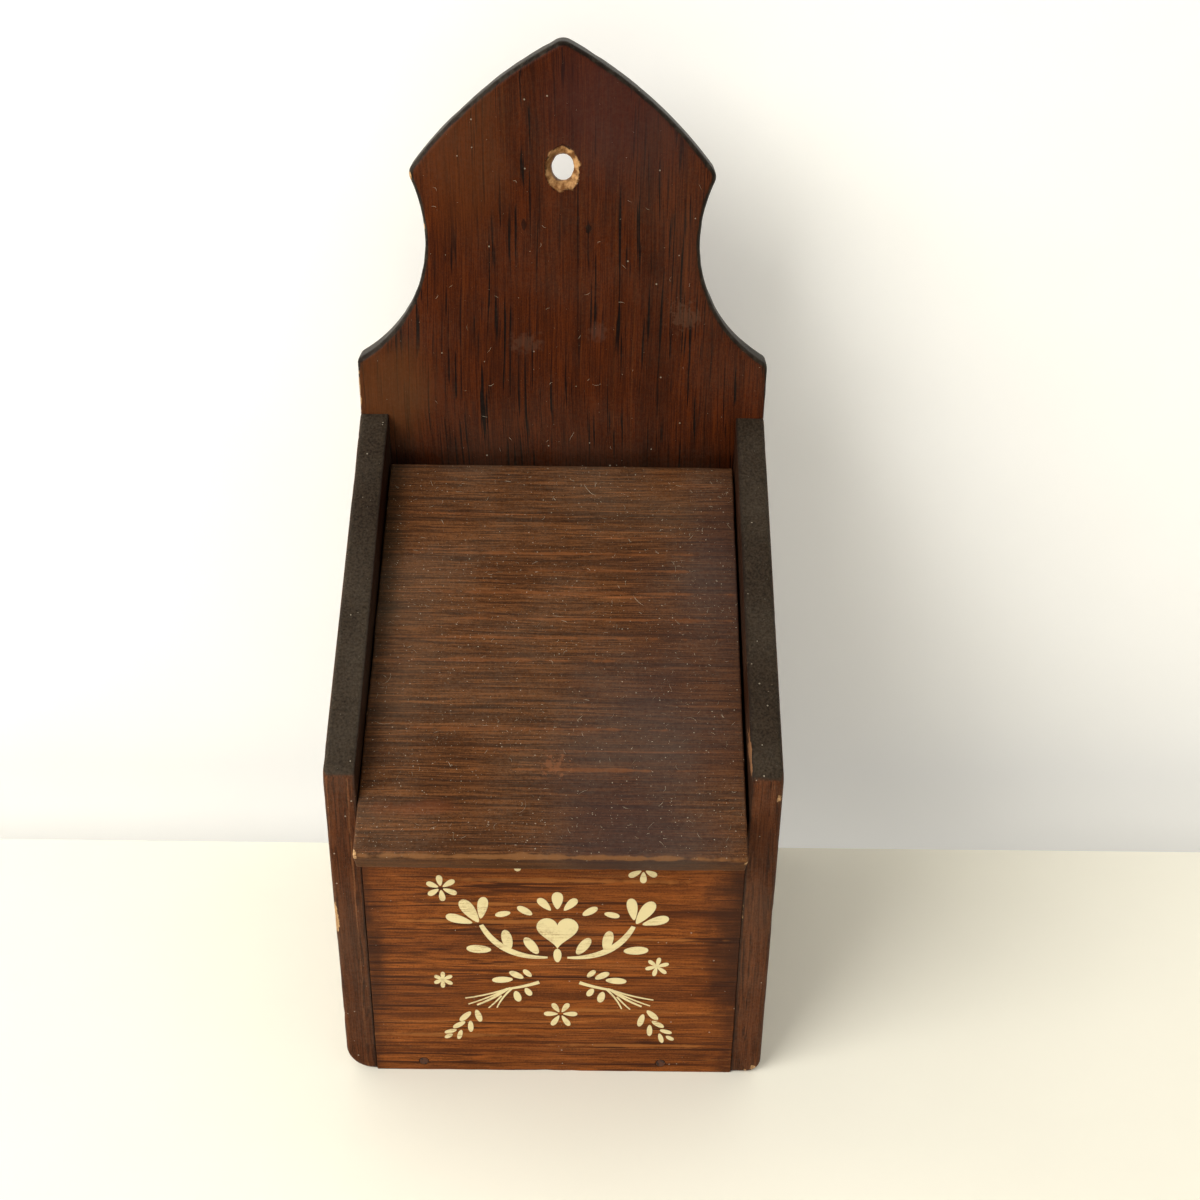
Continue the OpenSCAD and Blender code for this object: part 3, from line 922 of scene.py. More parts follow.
def lid_wood(colours):
    """Greyed lid with warm lines, a cool smudge, much dust and painted shade along its left edge.
    """
    tones = (colours.lid_dark, colours.lid_mid, colours.lid_light)
    wood = WoodMaterial("lid_stain", "X", tones, 12.4, 0.05, 0.45, 0.75, 0.55)
    tree = wood.tree
    wood.pores((48, 28, 18), 0.5)
    streaks = ramp(tree, cloud(tree, wood.along, (9, 800, 800)), 0.5, 0.62)
    wood.cover(streaks, (44, 25, 13), 0.55)
    wood.patches(
        (colours.smudge, (24, -52, 117), (24, 44, 44), 0.5, 0.3, 45, 0.55),
        (colours.smudge, (22, -72, 104), (28, 14, 14), 0.4, 0.3, 55, 0.5),
        (colours.smudge, (56, 12, 157), (15, 34, 34), 0.45, 0.3, 50, 0.55),
        (colours.smudge, (48, -25, 134), (26, 60, 60), 0.35, 0.25, 40, 0.5),
        # Painted shade: a dark band along the lid's left edge, beside the left side board.
        ((50, 42, 28), (-61, 12, 157), (8, 44, 44), 0.5, 0.25, 60, 0.5))
    slope = bpy.context.scene.salt_box_boards.lid_slope
    top = (41.4, 174.7)
    for x, down, reach in ((-6, 31.5, 50), (14, 38, 34), (-2, 46.7, 56), (10, 56.6, 50),
                           (-14, 63.7, 46), (-22, 72, 34), (-12, 96.2, 44), (8, 110, 30)):
        spot = (x, top[0] - down * math.cos(slope), top[1] - down * math.sin(slope))
        wood.patch((140, 82, 42), spot, (reach, 0.55, 0.55), 0.34, 0.8, 150, 0.4)
    wood.patches(
        ((126, 66, 34), (-42, -63.5, 110), (12, 2.6, 2.6), 0.3, 0.6, 90, 0.4),
        ((138, 84, 52), (0, -50.9, 117.8), (2.6, 2.4, 2.4), 0.4, 1.8, 700, 0.3),
        ((140, 94, 54), (0, -76.2, 101.7), (62, 0.9, 0.9), 0.6, 0.7, 150, 0.3))
    wood.worn_edges(0.1, (150, 112, 70))
    wood.patches(
        (wood.bare(), (-60.0, -75.4, 101.4), (1.2, 2.4, 2.0), 1, 0.5, 500),
        (wood.bare(), (58.6, -76, 99.0), (1.2, 1.4, 1.6), 1, 0.5, 500))
    wood.dusty(0.05, 0.6, 0.0015, 0.6)
    return wood.finish(0.55, 0.7, 0.0001, 0.06)


def bottom_wood(colours):
    """Plain wood inside the box, darkened by use."""
    wood = WoodMaterial("bottom_stain", "X", ((70, 46, 28), (122, 86, 54), (160, 118, 78)), 20.2)
    wood.pores((50, 32, 20), 0.5)
    wood.dusty(0.1, 0.4)
    return wood.finish(0.6, 0.75, 0.00012)


def paint_finish(colours):
    """Cream paint, thin enough to show the grain, with a few dark marks."""
    finish, tree, shader, coords = new_finish("cream_paint")
    spot = coords["Object"]
    inputs = {"Vector": spot, "Pore length": 0.02, "Seed": 7.7}
    fibre = use(tree, "Wood grain", inputs)["Fibre"]
    thin = ramp(tree, fibre, 0.46, 0.62)
    worn = times(tree, thin, ramp(tree, cloud(tree, spot, (90, 90, 160)), 0.42, 0.66))
    dirt = ramp(tree, cloud(tree, spot, 240), 0.6, 0.75)
    colour = blend(tree, times(tree, worn, 0.75), colours.paint, (158, 122, 76))
    fill(tree, shader, {
        "Base Color": blend(tree, times(tree, dirt, 0.35), colour, (150, 132, 92)),
        "Roughness": ramp(tree, fibre, 0.3, 0.7, 0.45, 0.6),
        "Normal": relief(tree, fibre, 0.4, 0.00008)})
    return finish


def iron_finish(colours):
    """Dark nail iron with a little brown rust."""
    finish, tree, shader, coords = new_finish("dark_nail_iron")
    rust = ramp(tree, cloud(tree, coords["Object"], 900, 4.0), 0.3, 0.5)
    fill(tree, shader, {
        "Base Color": blend(tree, rust, colours.iron, (84, 46, 24)),
        "Metallic": ramp(tree, rust, 0.0, 1.0, 0.7, 0.1),
        "Roughness": ramp(tree, rust, 0.0, 1.0, 0.5, 0.8),
        "Normal": relief(tree, rust, 0.5, 0.0001)})
    return finish


def dust_finish(colours):
    """Pale crumbs and fibres of dust."""
    finish, tree, shader, coords = new_finish("dust_crumbs")
    shade = ramp(tree, cloud(tree, coords["Object"], 400, 2.0), 0.35, 0.65)
    fill(tree, shader, {"Base Color": blend(tree, shade, (140, 122, 96), colours.dust),
                        "Roughness": ramp(tree, shade, 0.0, 1.0, 0.8, 0.95)})
    return finish


def material(name):
    """A finish by name, built the first time it is asked for."""
    makers = {"back_stain": back_wood, "side_stain": side_wood, "front_stain": front_wood,
              "lid_stain": lid_wood, "bottom_stain": bottom_wood, "cream_paint": paint_finish,
              "dark_nail_iron": iron_finish, "dust_crumbs": dust_finish}
    if not bpy.data.node_groups.get("Wood grain"):
        make_grain_group()
        make_bare_group()
        make_spot_group()
        make_dust_group()
    return bpy.data.materials.get(name) or makers[name](bpy.context.scene.salt_box_colours)


# Painted marks

def towards(angle):
    """A flat vector of length 1 along a heading."""
    return Vector((math.cos(angle), math.sin(angle)))


def flower(centre, reach, petals, lean, width, gap=0.18):
    """Petals round a centre: place, heading, length and width of each."""
    marks = []
    for i in range(petals):
        angle = lean + 2 * math.pi * i / petals
        wobble = 1 + 0.08 * math.sin(5.3 * i + lean)
        size = reach * (1 - gap) * wobble
        away = reach * gap + size / 2
        marks.append((centre[0] + away * math.cos(angle), centre[1] + away * math.sin(angle),
                      angle, size, width))
    return marks


def bow(start, end, sag, t):
    """Point and heading on a bowed line."""
    start = Vector(start)
    way = Vector(end) - start
    aside = Vector((-way.y, way.x))
    point = start + way * t + aside * sag * 4 * t * (1 - t)
    slope = way + aside * sag * 4 * (1 - 2 * t)
    return point, math.atan2(slope.y, slope.x)


def ear(start, end, sag, pairs, size, spread):
    """Leaves in pairs along a bowed line, closed by one at its tip."""
    marks = []
    for i in range(pairs):
        t = i / pairs
        point, along = bow(start, end, sag, t)
        leaf = size * (1.05 - 0.35 * t)
        for side in (LEFT, RIGHT):
            angle = along + side * spread
            away = towards(angle) * leaf * 0.62
            away += towards(along) * leaf * (0.25 if side == LEFT else 0.0)
            marks.append((point.x + away.x, point.y + away.y, angle - side * 0.25 * spread,
                          leaf, leaf * 0.38))
    point, along = bow(start, end, sag, 1.0)
    marks.append((point.x, point.y, along, size * 0.6, size * 0.3))
    return marks


def ribbon(solid, points, widths, y):
    """Faces of a flat painted stroke through points, as wide as asked at each."""
    rails = []
    for i, point in enumerate(points):
        before = points[max(0, i - 1)]
        after = points[min(len(points) - 1, i + 1)]
        way = (after - before).normalized()
        aside = Vector((-way.y, way.x)) * widths[i] / 2
        rails.append([solid.verts.new((spot.x, y, spot.y))
                      for spot in (point + aside, point - aside)])
    return [solid.faces.new((a[0], a[1], b[1], b[0])) for a, b in zip(rails, rails[1:])]


def swell(count, full, start=0.25, end=0.25):
    """Widths of a brush stroke that swells in its middle."""
    return [full * (start + (end - start) * i / (count - 1)
                    + (1 - max(start, end)) * math.sin(math.pi * i / (count - 1)) ** 0.8)
            for i in range(count)]


def scatter_tree(name, inputs):
    """An empty geometry-nodes tree with named sockets."""
    tree = bpy.data.node_groups.new(name, "GeometryNodeTree")
    for label, kind in {"Geometry": "Geometry", **inputs}.items():
        tree.interface.new_socket(label, in_out="INPUT", socket_type=f"NodeSocket{kind}")
    tree.interface.new_socket("Geometry", in_out="OUTPUT", socket_type="NodeSocketGeometry")
    return tree, tree.nodes.new("NodeGroupInput").outputs


def place_copies(tree, finish, inputs):
    """Ends a tree: copies on points, made real and given a material."""
    laid = put(tree, "GeometryNodeInstanceOnPoints", inputs).outputs[0]
    real = put(tree, "GeometryNodeRealizeInstances", {"Geometry": laid}).outputs[0]
    done = put(tree, "GeometryNodeSetMaterial", {"Geometry": real, "Material": finish}).outputs[0]
    tree.links.new(done, tree.nodes.new("NodeGroupOutput").inputs[0])
    return tree


def leaf_tree():
    """Geometry nodes: one painted leaf or petal on every point."""
    tree, given = scatter_tree("Painted leaves", {"Point": "Float", "Film": "Float",
                                                  "Paint": "Material"})
    inputs = {"Vertices": 24, "Radius": 0.5, "Depth": 2.0}
    disc = put(tree, "GeometryNodeMeshCylinder", inputs).outputs["Mesh"]
    place = split(tree, put(tree, "GeometryNodeInputPosition").outputs[0])
    taper = plus(tree, 1.0, times(tree, place[0], given["Point"]))
    depth = times(tree, times(tree, place[2], given["Film"]), -1.0)
    shaped = vector(tree, place[0], depth, times(tree, place[1], taper))
    inputs = {"Geometry": disc, "Position": shaped}
    leaf = put(tree, "GeometryNodeSetPosition", inputs).outputs[0]
    lean, size = (put(tree, "GeometryNodeInputNamedAttribute", {"Name": name},
                      data_type=kind).outputs["Attribute"]
                  for name, kind in (("lean", "FLOAT"), ("size", "FLOAT_VECTOR")))
    turned = vector(tree, 0.0, times(tree, lean, -1.0))
    return place_copies(tree, given["Paint"], {
        "Points": given["Geometry"], "Instance": leaf, "Rotation": turned, "Scale": size})


def grown(name, mesh, tree, values):
    """Runs a geometry-nodes tree on a mesh and gives the plain result."""
    host = linked(name, mesh)
    modifier = host.modifiers.new(name, "NODES")
    modifier.node_group = tree
    for item in tree.interface.items_tree:
        if item.in_out == "INPUT" and item.name in values:
            modifier[item.identifier] = values[item.name]
    return baked(host)


def leaf_marks(name, marks, point, paint):
    """Painted leaves from a list of places, headings and sizes in millimetres."""
    mesh = bpy.data.meshes.new(name)
    face_y = FRONT_LOW.y - 0.01 * MM
    mesh.from_pydata([(x * MM, face_y, z * MM) for x, z, _, _, _ in marks], [], [])
    lean = mesh.attributes.new("lean", "FLOAT", "POINT")
    size = mesh.attributes.new("size", "FLOAT_VECTOR", "POINT")
    for i, (_, _, angle, long, wide) in enumerate(marks):
        lean.data[i].value = angle
        size.data[i].vector = (long * MM, 1.0, wide * MM)
    tree = bpy.data.node_groups.get("Painted leaves") or leaf_tree()
    return grown(name, mesh, tree, {"Point": point, "Film": paint.film,
                                    "Paint": material("cream_paint")})


def joined(name, meshes):
    """One mesh from several."""
    solid = solid_of(*meshes)
    bmesh.ops.remove_doubles(solid, verts=solid.verts, dist=1e-7)
    face_out(solid)
    return mesh_of(solid, name)


def strokes_mesh(name, strokes, shapes, film):
    """Painted strokes and filled shapes, closed films, each a hair higher than the last."""
    solid = bmesh.new()
    y = FRONT_LOW.y + PAINT_DEPTH * MM
    sheets = [ribbon(solid, [point * MM for point in points], [width * MM for width in widths], y)
              for points, widths in strokes]
    sheets += [[solid.faces.new([solid.verts.new((point.x * MM, y, point.y * MM))
                                 for point in shape])] for shape in shapes]
    for index, faces in enumerate(sheets):
        raised = bmesh.ops.extrude_face_region(solid, geom=faces, use_keep_orig=True)["geom"]
        verts = [item for item in raised if isinstance(item, bmesh.types.BMVert)]
        rise = film + (PAINT_DEPTH + PAINT_STEP * index) * MM
        bmesh.ops.translate(solid, verts=verts, vec=(0, -rise, 0))
    face_out(solid)
    crowded = [face for face in solid.faces if len(face.verts) > 4]
    bmesh.ops.triangulate(solid, faces=crowded)
    return mesh_of(solid, name)


# Dust

def chance_value(tree, low, high, seed):
    """A random value for every point."""
    inputs = {2: low, 3: high, "Seed": seed}
    return put(tree, "FunctionNodeRandomValue", inputs, data_type="FLOAT").outputs[1]


def crumb_tree():
    """Geometry nodes: small crumbs scattered on the faces that look up."""
    tree, given = scatter_tree("Dust crumbs", {
        "Per square metre": "Float", "Smallest": "Float", "Largest": "Float",
        "Least lean": "Float", "Seed": "Int", "Dust": "Material"})
    upward = split(tree, put(tree, "GeometryNodeInputNormal").outputs[0])
    lean = calc(tree, "SUBTRACT", upward[2], upward[1])
    facing = put(tree, "FunctionNodeCompare", {0: lean, 1: given["Least lean"]},
                 operation="GREATER_THAN").outputs[0]
    clumps = put(tree, "ShaderNodeTexNoise", {"Scale": 45.0, "Detail": 3.0}).outputs["Fac"]
    crowd = times(tree, calc(tree, "POWER", clumps, 3.0), given["Per square metre"])
    inputs = {"Mesh": given["Geometry"], "Selection": facing, "Density": crowd,
              "Seed": given["Seed"]}
    spread = put(tree, "GeometryNodeDistributePointsOnFaces", inputs, distribute_method="RANDOM")
    inputs = {"Radius": 0.5, "Subdivisions": 1}
    crumb = put(tree, "GeometryNodeMeshIcoSphere", inputs).outputs["Mesh"]
    size = chance_value(tree, given["Smallest"], given["Largest"], 3)
    uneven = calc(tree, "POWER", chance_value(tree, 0.0, 1.0, 5), 2.5)
    girth = times(tree, size, plus(tree, 0.35, uneven))
    stretched = vector(tree, times(tree, girth, 1.7), girth, times(tree, girth, 0.5))
    inputs = {0: (0, 0, 0), 1: (0, 0, 6.28), "Seed": 7}
    spin = put(tree, "FunctionNodeRandomValue", inputs, data_type="FLOAT_VECTOR").outputs[0]
    return place_copies(tree, given["Dust"], {
        "Points": spread.outputs["Points"], "Instance": crumb, "Rotation": spin,
        "Scale": stretched})


def crumbs(name, hosts, per_square_metre, smallest, largest, lean, seed):
    """Dust crumbs on copies of the pieces that carry them."""
    base = joined("dust_ground", [host.data for host in hosts])
    tree = bpy.data.node_groups.get("Dust crumbs") or crumb_tree()
    return grown(name, base, tree, {
        "Per square metre": per_square_metre, "Smallest": smallest * MM, "Largest": largest * MM,
        "Least lean": lean, "Seed": seed, "Dust": material("dust_crumbs")})


def hairs_mesh(name, count, seed, place, steps=6):
    """Short curled fibres of dust lying on a face given by place(u, v)."""
    chance = random.Random(seed)
    solid = bmesh.new()
    for _ in range(count):
        u, v = chance.random(), chance.random()
        turn_by = chance.gauss(0, 0.9)
        angle = chance.uniform(0, 2 * math.pi)
        long = chance.uniform(*HAIR_LENGTHS) * MM
        long *= LONG_HAIR if chance.random() < LONG_HAIR_SHARE else 1.0
        thin = chance.uniform(*HAIR_RADII) * MM
        spot, right, up, out = place(u, v)
        spot = spot + out * thin
        rings = []
        for i in range(steps + 1):
            t = i / steps
            way = right * math.cos(angle + turn_by * t) + up * math.sin(angle + turn_by * t)
            side = way.cross(out)
            taper = thin * (0.5 + math.sin(math.pi * t))
            rings.append([solid.verts.new(spot + (side * math.cos(a) + out * math.sin(a)) * taper)
                          for a in (math.pi / 2, math.pi * 7 / 6, math.pi * 11 / 6)])
            spot = spot + way * long / steps
        tube(solid, rings)
    face_out(solid)
    return mesh_of(solid, name)


# Operators

def middle_of(edge):
    """Middle of an edge."""
    return (edge.verts[0].co + edge.verts[1].co) / 2


class SALTBOX_OT_back_board(Operator):
    """Back board with its crest, eased edges and torn hanging hole"""

    bl_idname = "saltbox.back_board"
    bl_label = "Back board"

    def execute(self, context):
        scene = context.scene
        crest, boards, nails = scene.salt_box_crest, scene.salt_box_boards, scene.salt_box_nails

        def arris(edge):
            middle = middle_of(edge)
            if middle.z < BACK_LOW.z + MM:
                return boards.joint_arris
            if middle.z < SIDE_HIGH.z or middle.y > (BACK_LOW.y + BACK_HIGH.y) / 2:
                return boards.plain_arris
            return boards.crest_arris

        spots = [(side * (BACK_HIGH.x - HALF_BOARD), z) for side in (LEFT, RIGHT)
                 for z in joint_heights(nails, SIDE_HIGH.z)]
        spots += [(side * (FRONT_HIGH.x - nails.back_inset), BOTTOM_HIGH.z / 2)
                  for side in (LEFT, RIGHT)]
        wall = [Vector((x, BACK_HIGH.y, z)) for x, z in spots]
        pockets = nail_pockets(wall, Vector((0, 1, 0)), nails.head_r)
        tools = joined("tools", [pockets, hole_cutter(crest)])
        mesh = board_mesh(back_outline(crest), "Y", BACK_LOW.y, BACK_HIGH.y, arris, "back_stain",
                          1, tools)
        piece = new_piece("back_board_wood", mesh, "box")
        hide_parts("back_board")
        return {"FINISHED"}


class SALTBOX_OT_side_boards(Operator):
    """Two side boards with sloping tops and rounded feet"""

    bl_idname = "saltbox.side_boards"
    bl_label = "Side boards"

    def execute(self, context):
        boards, nails = context.scene.salt_box_boards, context.scene.salt_box_nails
        for side, foot, node in ((LEFT, boards.left_foot, "left_side"),
                                 (RIGHT, boards.right_foot, "right_side")):
            low, high = (Vector(corner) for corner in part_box(node))
            outer = low.x if side == LEFT else high.x

            def arris(edge):
                middle = middle_of(edge)
                deep = abs(edge.verts[0].co.y - edge.verts[1].co.y) > MM
                under = middle.z < low.z + NEAR and deep
                inner = abs(middle.x - outer) > high.x - low.x - NEAR
                if under or inner or middle.y > high.y - MM:
                    return boards.joint_arris
                return boards.soft_arris

            heads = [Vector((outer, FRONT_LOW.y + HALF_BOARD, z))
                     for z in joint_heights(nails, FRONT_HIGH.z - 6 * MM)]
            tools = nail_pockets(heads, Vector((side, 0, 0)), nails.head_r)
            mesh = board_mesh(side_outline(boards), "X", low.x, high.x, arris, "side_stain",
                              4 + side, tools, foot=(outer, low.z, foot))
            piece = new_piece(f"{node}_wood", mesh, "box")
            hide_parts(node)
        return {"FINISHED"}


class SALTBOX_OT_front_board(Operator):
    """Front board between the sides, bevelled to the lid"""

    bl_idname = "saltbox.front_board"
    bl_label = "Front board"

    def execute(self, context):
        boards, nails = context.scene.salt_box_boards, context.scene.salt_box_nails
        fall = (FRONT_HIGH.y - FRONT_LOW.y) * math.tan(boards.lid_slope)
        outline = [(FRONT_LOW.y, FRONT_LOW.z), (FRONT_HIGH.y, FRONT_LOW.z),
                   (FRONT_HIGH.y, FRONT_HIGH.z), (FRONT_LOW.y, FRONT_HIGH.z - fall)]
        heads = [Vector((x, FRONT_LOW.y, BOTTOM_HIGH.z / 2))
                 for x in (FRONT_LOW.x + nails.left_inset, FRONT_HIGH.x - nails.right_inset)]
        tools = nail_pockets(heads, Vector((0, -1, 0)), nails.head_r)
        mesh = board_mesh(outline, "X", FRONT_LOW.x, FRONT_HIGH.x,
                          lambda edge: boards.joint_arris, "front_stain", 9, tools)
        piece = new_piece("front_board_wood", mesh, "box")
        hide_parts("front_board")
        return {"FINISHED"}


class SALTBOX_OT_bottom_board(Operator):
    """Bottom board inside the box"""

    bl_idname = "saltbox.bottom_board"
    bl_label = "Bottom board"

    def execute(self, context):
        boards = context.scene.salt_box_boards
        low, high = BOTTOM_LOW, BOTTOM_HIGH
        outline = [(low.y, low.z), (high.y, low.z), (high.y, high.z), (low.y, high.z)]
        mesh = board_mesh(outline, "X", low.x, high.x, lambda edge: boards.joint_arris,
                          "bottom_stain", 12)
        piece = new_piece("bottom_board_wood", mesh, "box")
        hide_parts("bottom_board")
        return {"FINISHED"}


class SALTBOX_OT_lid(Operator):
    """Sloping lid with its lifting lip"""

    bl_idname = "saltbox.lid"
    bl_label = "Lid"

    def execute(self, context):
        boards = context.scene.salt_box_boards
        half_t = boards.lid_t / 2
        front_y = FRONT_LOW.y - boards.lid_lip
        slope = boards.lid_slope
        reach = (PIVOT.y - front_y - half_t * math.sin(slope)) / math.cos(slope)
        outline = [(-reach, -half_t), (boards.lid_tail, -half_t), (boards.lid_tail, half_t),
                   (-reach, half_t)]

        def arris(edge):
            long_edge = abs(edge.verts[0].co.x - edge.verts[1].co.x) > 50 * MM
            return LID_ARRIS if long_edge else boards.plain_arris

        skew = Matrix.Identity(4)
        skew[0][1] = boards.lid_skew / reach
        place = Matrix.Translation(PIVOT) @ Matrix.Rotation(slope, 4, "X") @ skew
        mesh = board_mesh(outline, "X", LID_LOW.x, LID_HIGH.x, arris, "lid_stain", 15,
                          place=place)
        piece = new_piece("lid_wood", mesh, "lid")
        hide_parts("lid")
        return {"FINISHED"}


class SALTBOX_OT_nails(Operator):
    """Iron finish for the pivot nails and the board nails"""

    bl_idname = "saltbox.nails"
    bl_label = "Nails"

    def execute(self, context):
        for name, held in frame["nodes"].items():
            if name.endswith(("_nails", "_pin")):
                held.data.materials.clear()
                held.data.materials.append(material("dark_nail_iron"))
        return {"FINISHED"}


class SALTBOX_OT_ornament(Operator):
    """Painted flowers, sprigs, ears and scrolls on the front board"""

    bl_idname = "saltbox.ornament"
    bl_label = "Painted ornament"

    def execute(self, context):
        paint = context.scene.salt_box_paint
        flowers = []
        for x, z, reach, lean, wide, gap in (
                (-35.6, 78.2, 5.2, 0.62, 1.9, 0.16), (28.2, 86.2, 5.0, -0.52, 2.0, 0.16),
                (-11.3, 90.0, 4.6, -0.52, 2.1, 0.16), (2.2, 25.9, 5.6, 0.0, 1.8, 0.16),
                (-36.3, 40.3, 3.4, 0.5, 1.4, 0.02), (33.5, 46.8, 4.0, 0.3, 1.4, 0.02)):
            flowers += flower((x, z), reach, paint.petal_count, lean, wide, gap)
        leaves = []
        strokes = []
        for side in (LEFT, RIGHT):
            leaves += self.sprig(side, strokes, paint)
        heart = self.bouquet(leaves, flowers, strokes, paint)
        solid = solid_of(leaf_marks("petals", flowers, 0.8, paint),
                         leaf_marks("leaves", leaves, 0.2, paint),
                         strokes_mesh("strokes", strokes, [heart], paint.film))
        face_out(solid)
        mesh = mesh_of(solid, "painted_ornament")
        mesh.materials.append(material("cream_paint"))
        new_piece("painted_ornament", mesh, "box")
        return {"FINISHED"}

    def sprig(self, side, strokes, paint, hub=1.8):
        """A branch with leaves above and below, twigs and an ear of grain."""
        def at(x, z):
            return (hub + side * x, z)

        def lean(degrees):
            angle = math.radians(degrees)
            return angle if side == RIGHT else math.pi - angle

        twigs = ((6.6, 39.6, 17.0, 36.6, 0.03, 1.0), (17.0, 36.6, 27.2, 29.5, 0.04, 0.8),
                 (16.0, 37.0, 31.0, 32.4, 0.03, 0.55), (17.5, 36.2, 30.0, 29.8, 0.02, 0.5),
                 (15.5, 36.8, 20.6, 28.4, -0.05, 0.55), (19.0, 33.6, 23.4, 28.2, 0.02, 0.5))
        for x0, z0, x1, z1, sag, wide in twigs:
            points = [bow(at(x0, z0), at(x1, z1), -side * sag, i / 12)[0] for i in range(13)]
            widths = [paint.stem_w / MM * wide * (1.0 - 0.4 * i / 12) for i in range(13)]
            strokes.append((points, widths))
        marks = [(*at(x, z), lean(angle), long, wide) for x, z, angle, long, wide in (
            (18.6, 40.5, -4, 6.8, 2.5), (14.0, 42.6, 30, 5.2, 2.3), (10.4, 43.4, 48, 3.8, 1.9),
            (13.8, 33.4, -104, 4.6, 2.4), (10.2, 35.4, -120, 3.6, 2.1))]
        return marks + ear(at(28.2, 27.8), at(37.0, 15.6), -side * 0.10, 3, 5.2, 0.66)

    def bouquet(self, leaves, flowers, strokes, paint):
        """Two leafy stems with tulips round a heart, whose outline is given back."""
        hub = Vector((1.2, 61.8))
        full = paint.scroll_w / MM
        for side in (LEFT, RIGHT):
            def at(x, z):
                return Vector((hub.x + side * x, hub.y + z))

            def leaf(x, z, degrees, long, wide):
                angle = math.radians(degrees)
                return (*at(x, z), angle if side == RIGHT else math.pi - angle, long, wide)

            stem = [bow(at(3.2, -11.6), at(24.4, 1.6), -side * 0.17, i / 24)[0]
                    for i in range(25)]
            strokes.append((stem, swell(len(stem), full * 0.75, 0.25, 0.55)))
            leaves += [leaf(8.4, -6.8, 58, 7.8, 3.3), leaf(16.2, -4.4, 80, 8.2, 3.4),
                       leaf(25.4, -8.4, 4, 8.0, 3.2)]
            flowers += [leaf(27.9, 7.2, 59, 10.4, 4.0), leaf(23.9, 8.6, 98, 8.8, 3.2),
                        leaf(31.4, 3.8, 18, 8.8, 3.2)]
            leaves += [leaf(10.4, 7.6, 34, 5.6, 2.5), leaf(17.4, 6.2, -14, 5.0, 2.2)]
        for x, z, degrees, long, wide in ((0, 11.8, 90, 6.8, 3.4), (-4.1, 10.2, 130, 6.2, 2.6),
                                          (4.1, 10.2, 50, 6.2, 2.6)):
            flowers.append((hub.x + x, hub.y + z, math.radians(degrees), long, wide))
        leaves.append((hub.x, hub.y - 10.8, math.radians(90), 5.6, 2.6))
        heart = []
        for i in range(48):
            t = 2 * math.pi * i / 48
            wide = 16 * math.sin(t) ** 3
            tall = 13 * math.cos(t) - 5 * math.cos(2 * t) - 2 * math.cos(3 * t) - math.cos(4 * t)
            heart.append(Vector((hub.x + wide * 0.42, hub.y - 0.6 + tall * 0.44)))
        return heart


class SALTBOX_OT_dust(Operator):
    """Crumbs and fibres of dust on the boards"""

    bl_idname = "saltbox.dust"
    bl_label = "Dust"

    def execute(self, context):
        boards = context.scene.salt_box_boards
        pieces = bpy.data.objects
        slope = boards.lid_slope
        across = Vector((1, 0, 0))
        up = Vector((0, math.cos(slope), math.sin(slope)))
        out = Vector((0, -math.sin(slope), math.cos(slope)))
        corner = PIVOT + out * (boards.lid_t / 2 + HAIR_GAP)

        def on_lid(u, v):
            x = LID_LOW.x + 2 * MM + u * (LID_HIGH.x - LID_LOW.x - 4 * MM)
            return corner + Vector((x, 0, 0)) - up * (v * LID_REACH * MM), across, up, out

        def on_back(u, v):
            spot = Vector((-44 * MM + u * 88 * MM, BACK_LOW.y - HAIR_GAP, 178 * MM + v * 95 * MM))
            return spot, across, Vector((0, 0, 1)), Vector((0, -1, 0))

        box = [pieces[name] for name in ("back_board_wood", "left_side_wood", "right_side_wood",
                                         "front_board_wood")]
        heaps = (
            ("lid_dust", "lid", "lid_wood", [pieces["lid_wood"]], LID_CRUMBS, LID_HAIRS, on_lid),
            ("box_dust", "box", "back_wood", box, BOX_CRUMBS, BOX_HAIRS, on_back),
        )
        for name, body, slot, hosts, crumb_values, hair_values, place in heaps:
            solid = solid_of(crumbs("crumbs", hosts, *crumb_values),
                             hairs_mesh("hairs", *hair_values, place))
            keep_inside(solid, *CAD_BOX)
            mesh = mesh_of(solid, name)
            mesh.materials.append(material("dust_crumbs"))
            new_piece(name, mesh, body)
        return {"FINISHED"}


def stage_finish(name, colour, camera_lift):
    """Pale one-sided surface that keeps shadows and shows bright to the camera."""
    finish, tree, shader, coords = new_finish(name)
    mottle = ramp(tree, cloud(tree, coords["Object"], 9), 0.3, 0.7)
    path = put(tree, "ShaderNodeLightPath").outputs
    seen = calc(tree, "ADD", path["Is Camera Ray"], path["Is Glossy Ray"], True)
    fill(tree, shader, {
        "Base Color": blend(tree, times(tree, mottle, 0.06), colour, (210, 204, 186)),
        "Roughness": 0.5, "Specular IOR Level": 0.2, "Emission Color": linear(colour),
        "Emission Strength": times(tree, seen, camera_lift)})
    behind = put(tree, "ShaderNodeNewGeometry").outputs["Backfacing"]
    clear = put(tree, "ShaderNodeBsdfTransparent").outputs[0]
    surface = put(tree, "ShaderNodeMixShader", {0: behind, 1: shader.outputs[0], 2: clear})
    fill(tree, tree.nodes["Material Output"], {"Surface": surface.outputs[0]})
    return finish


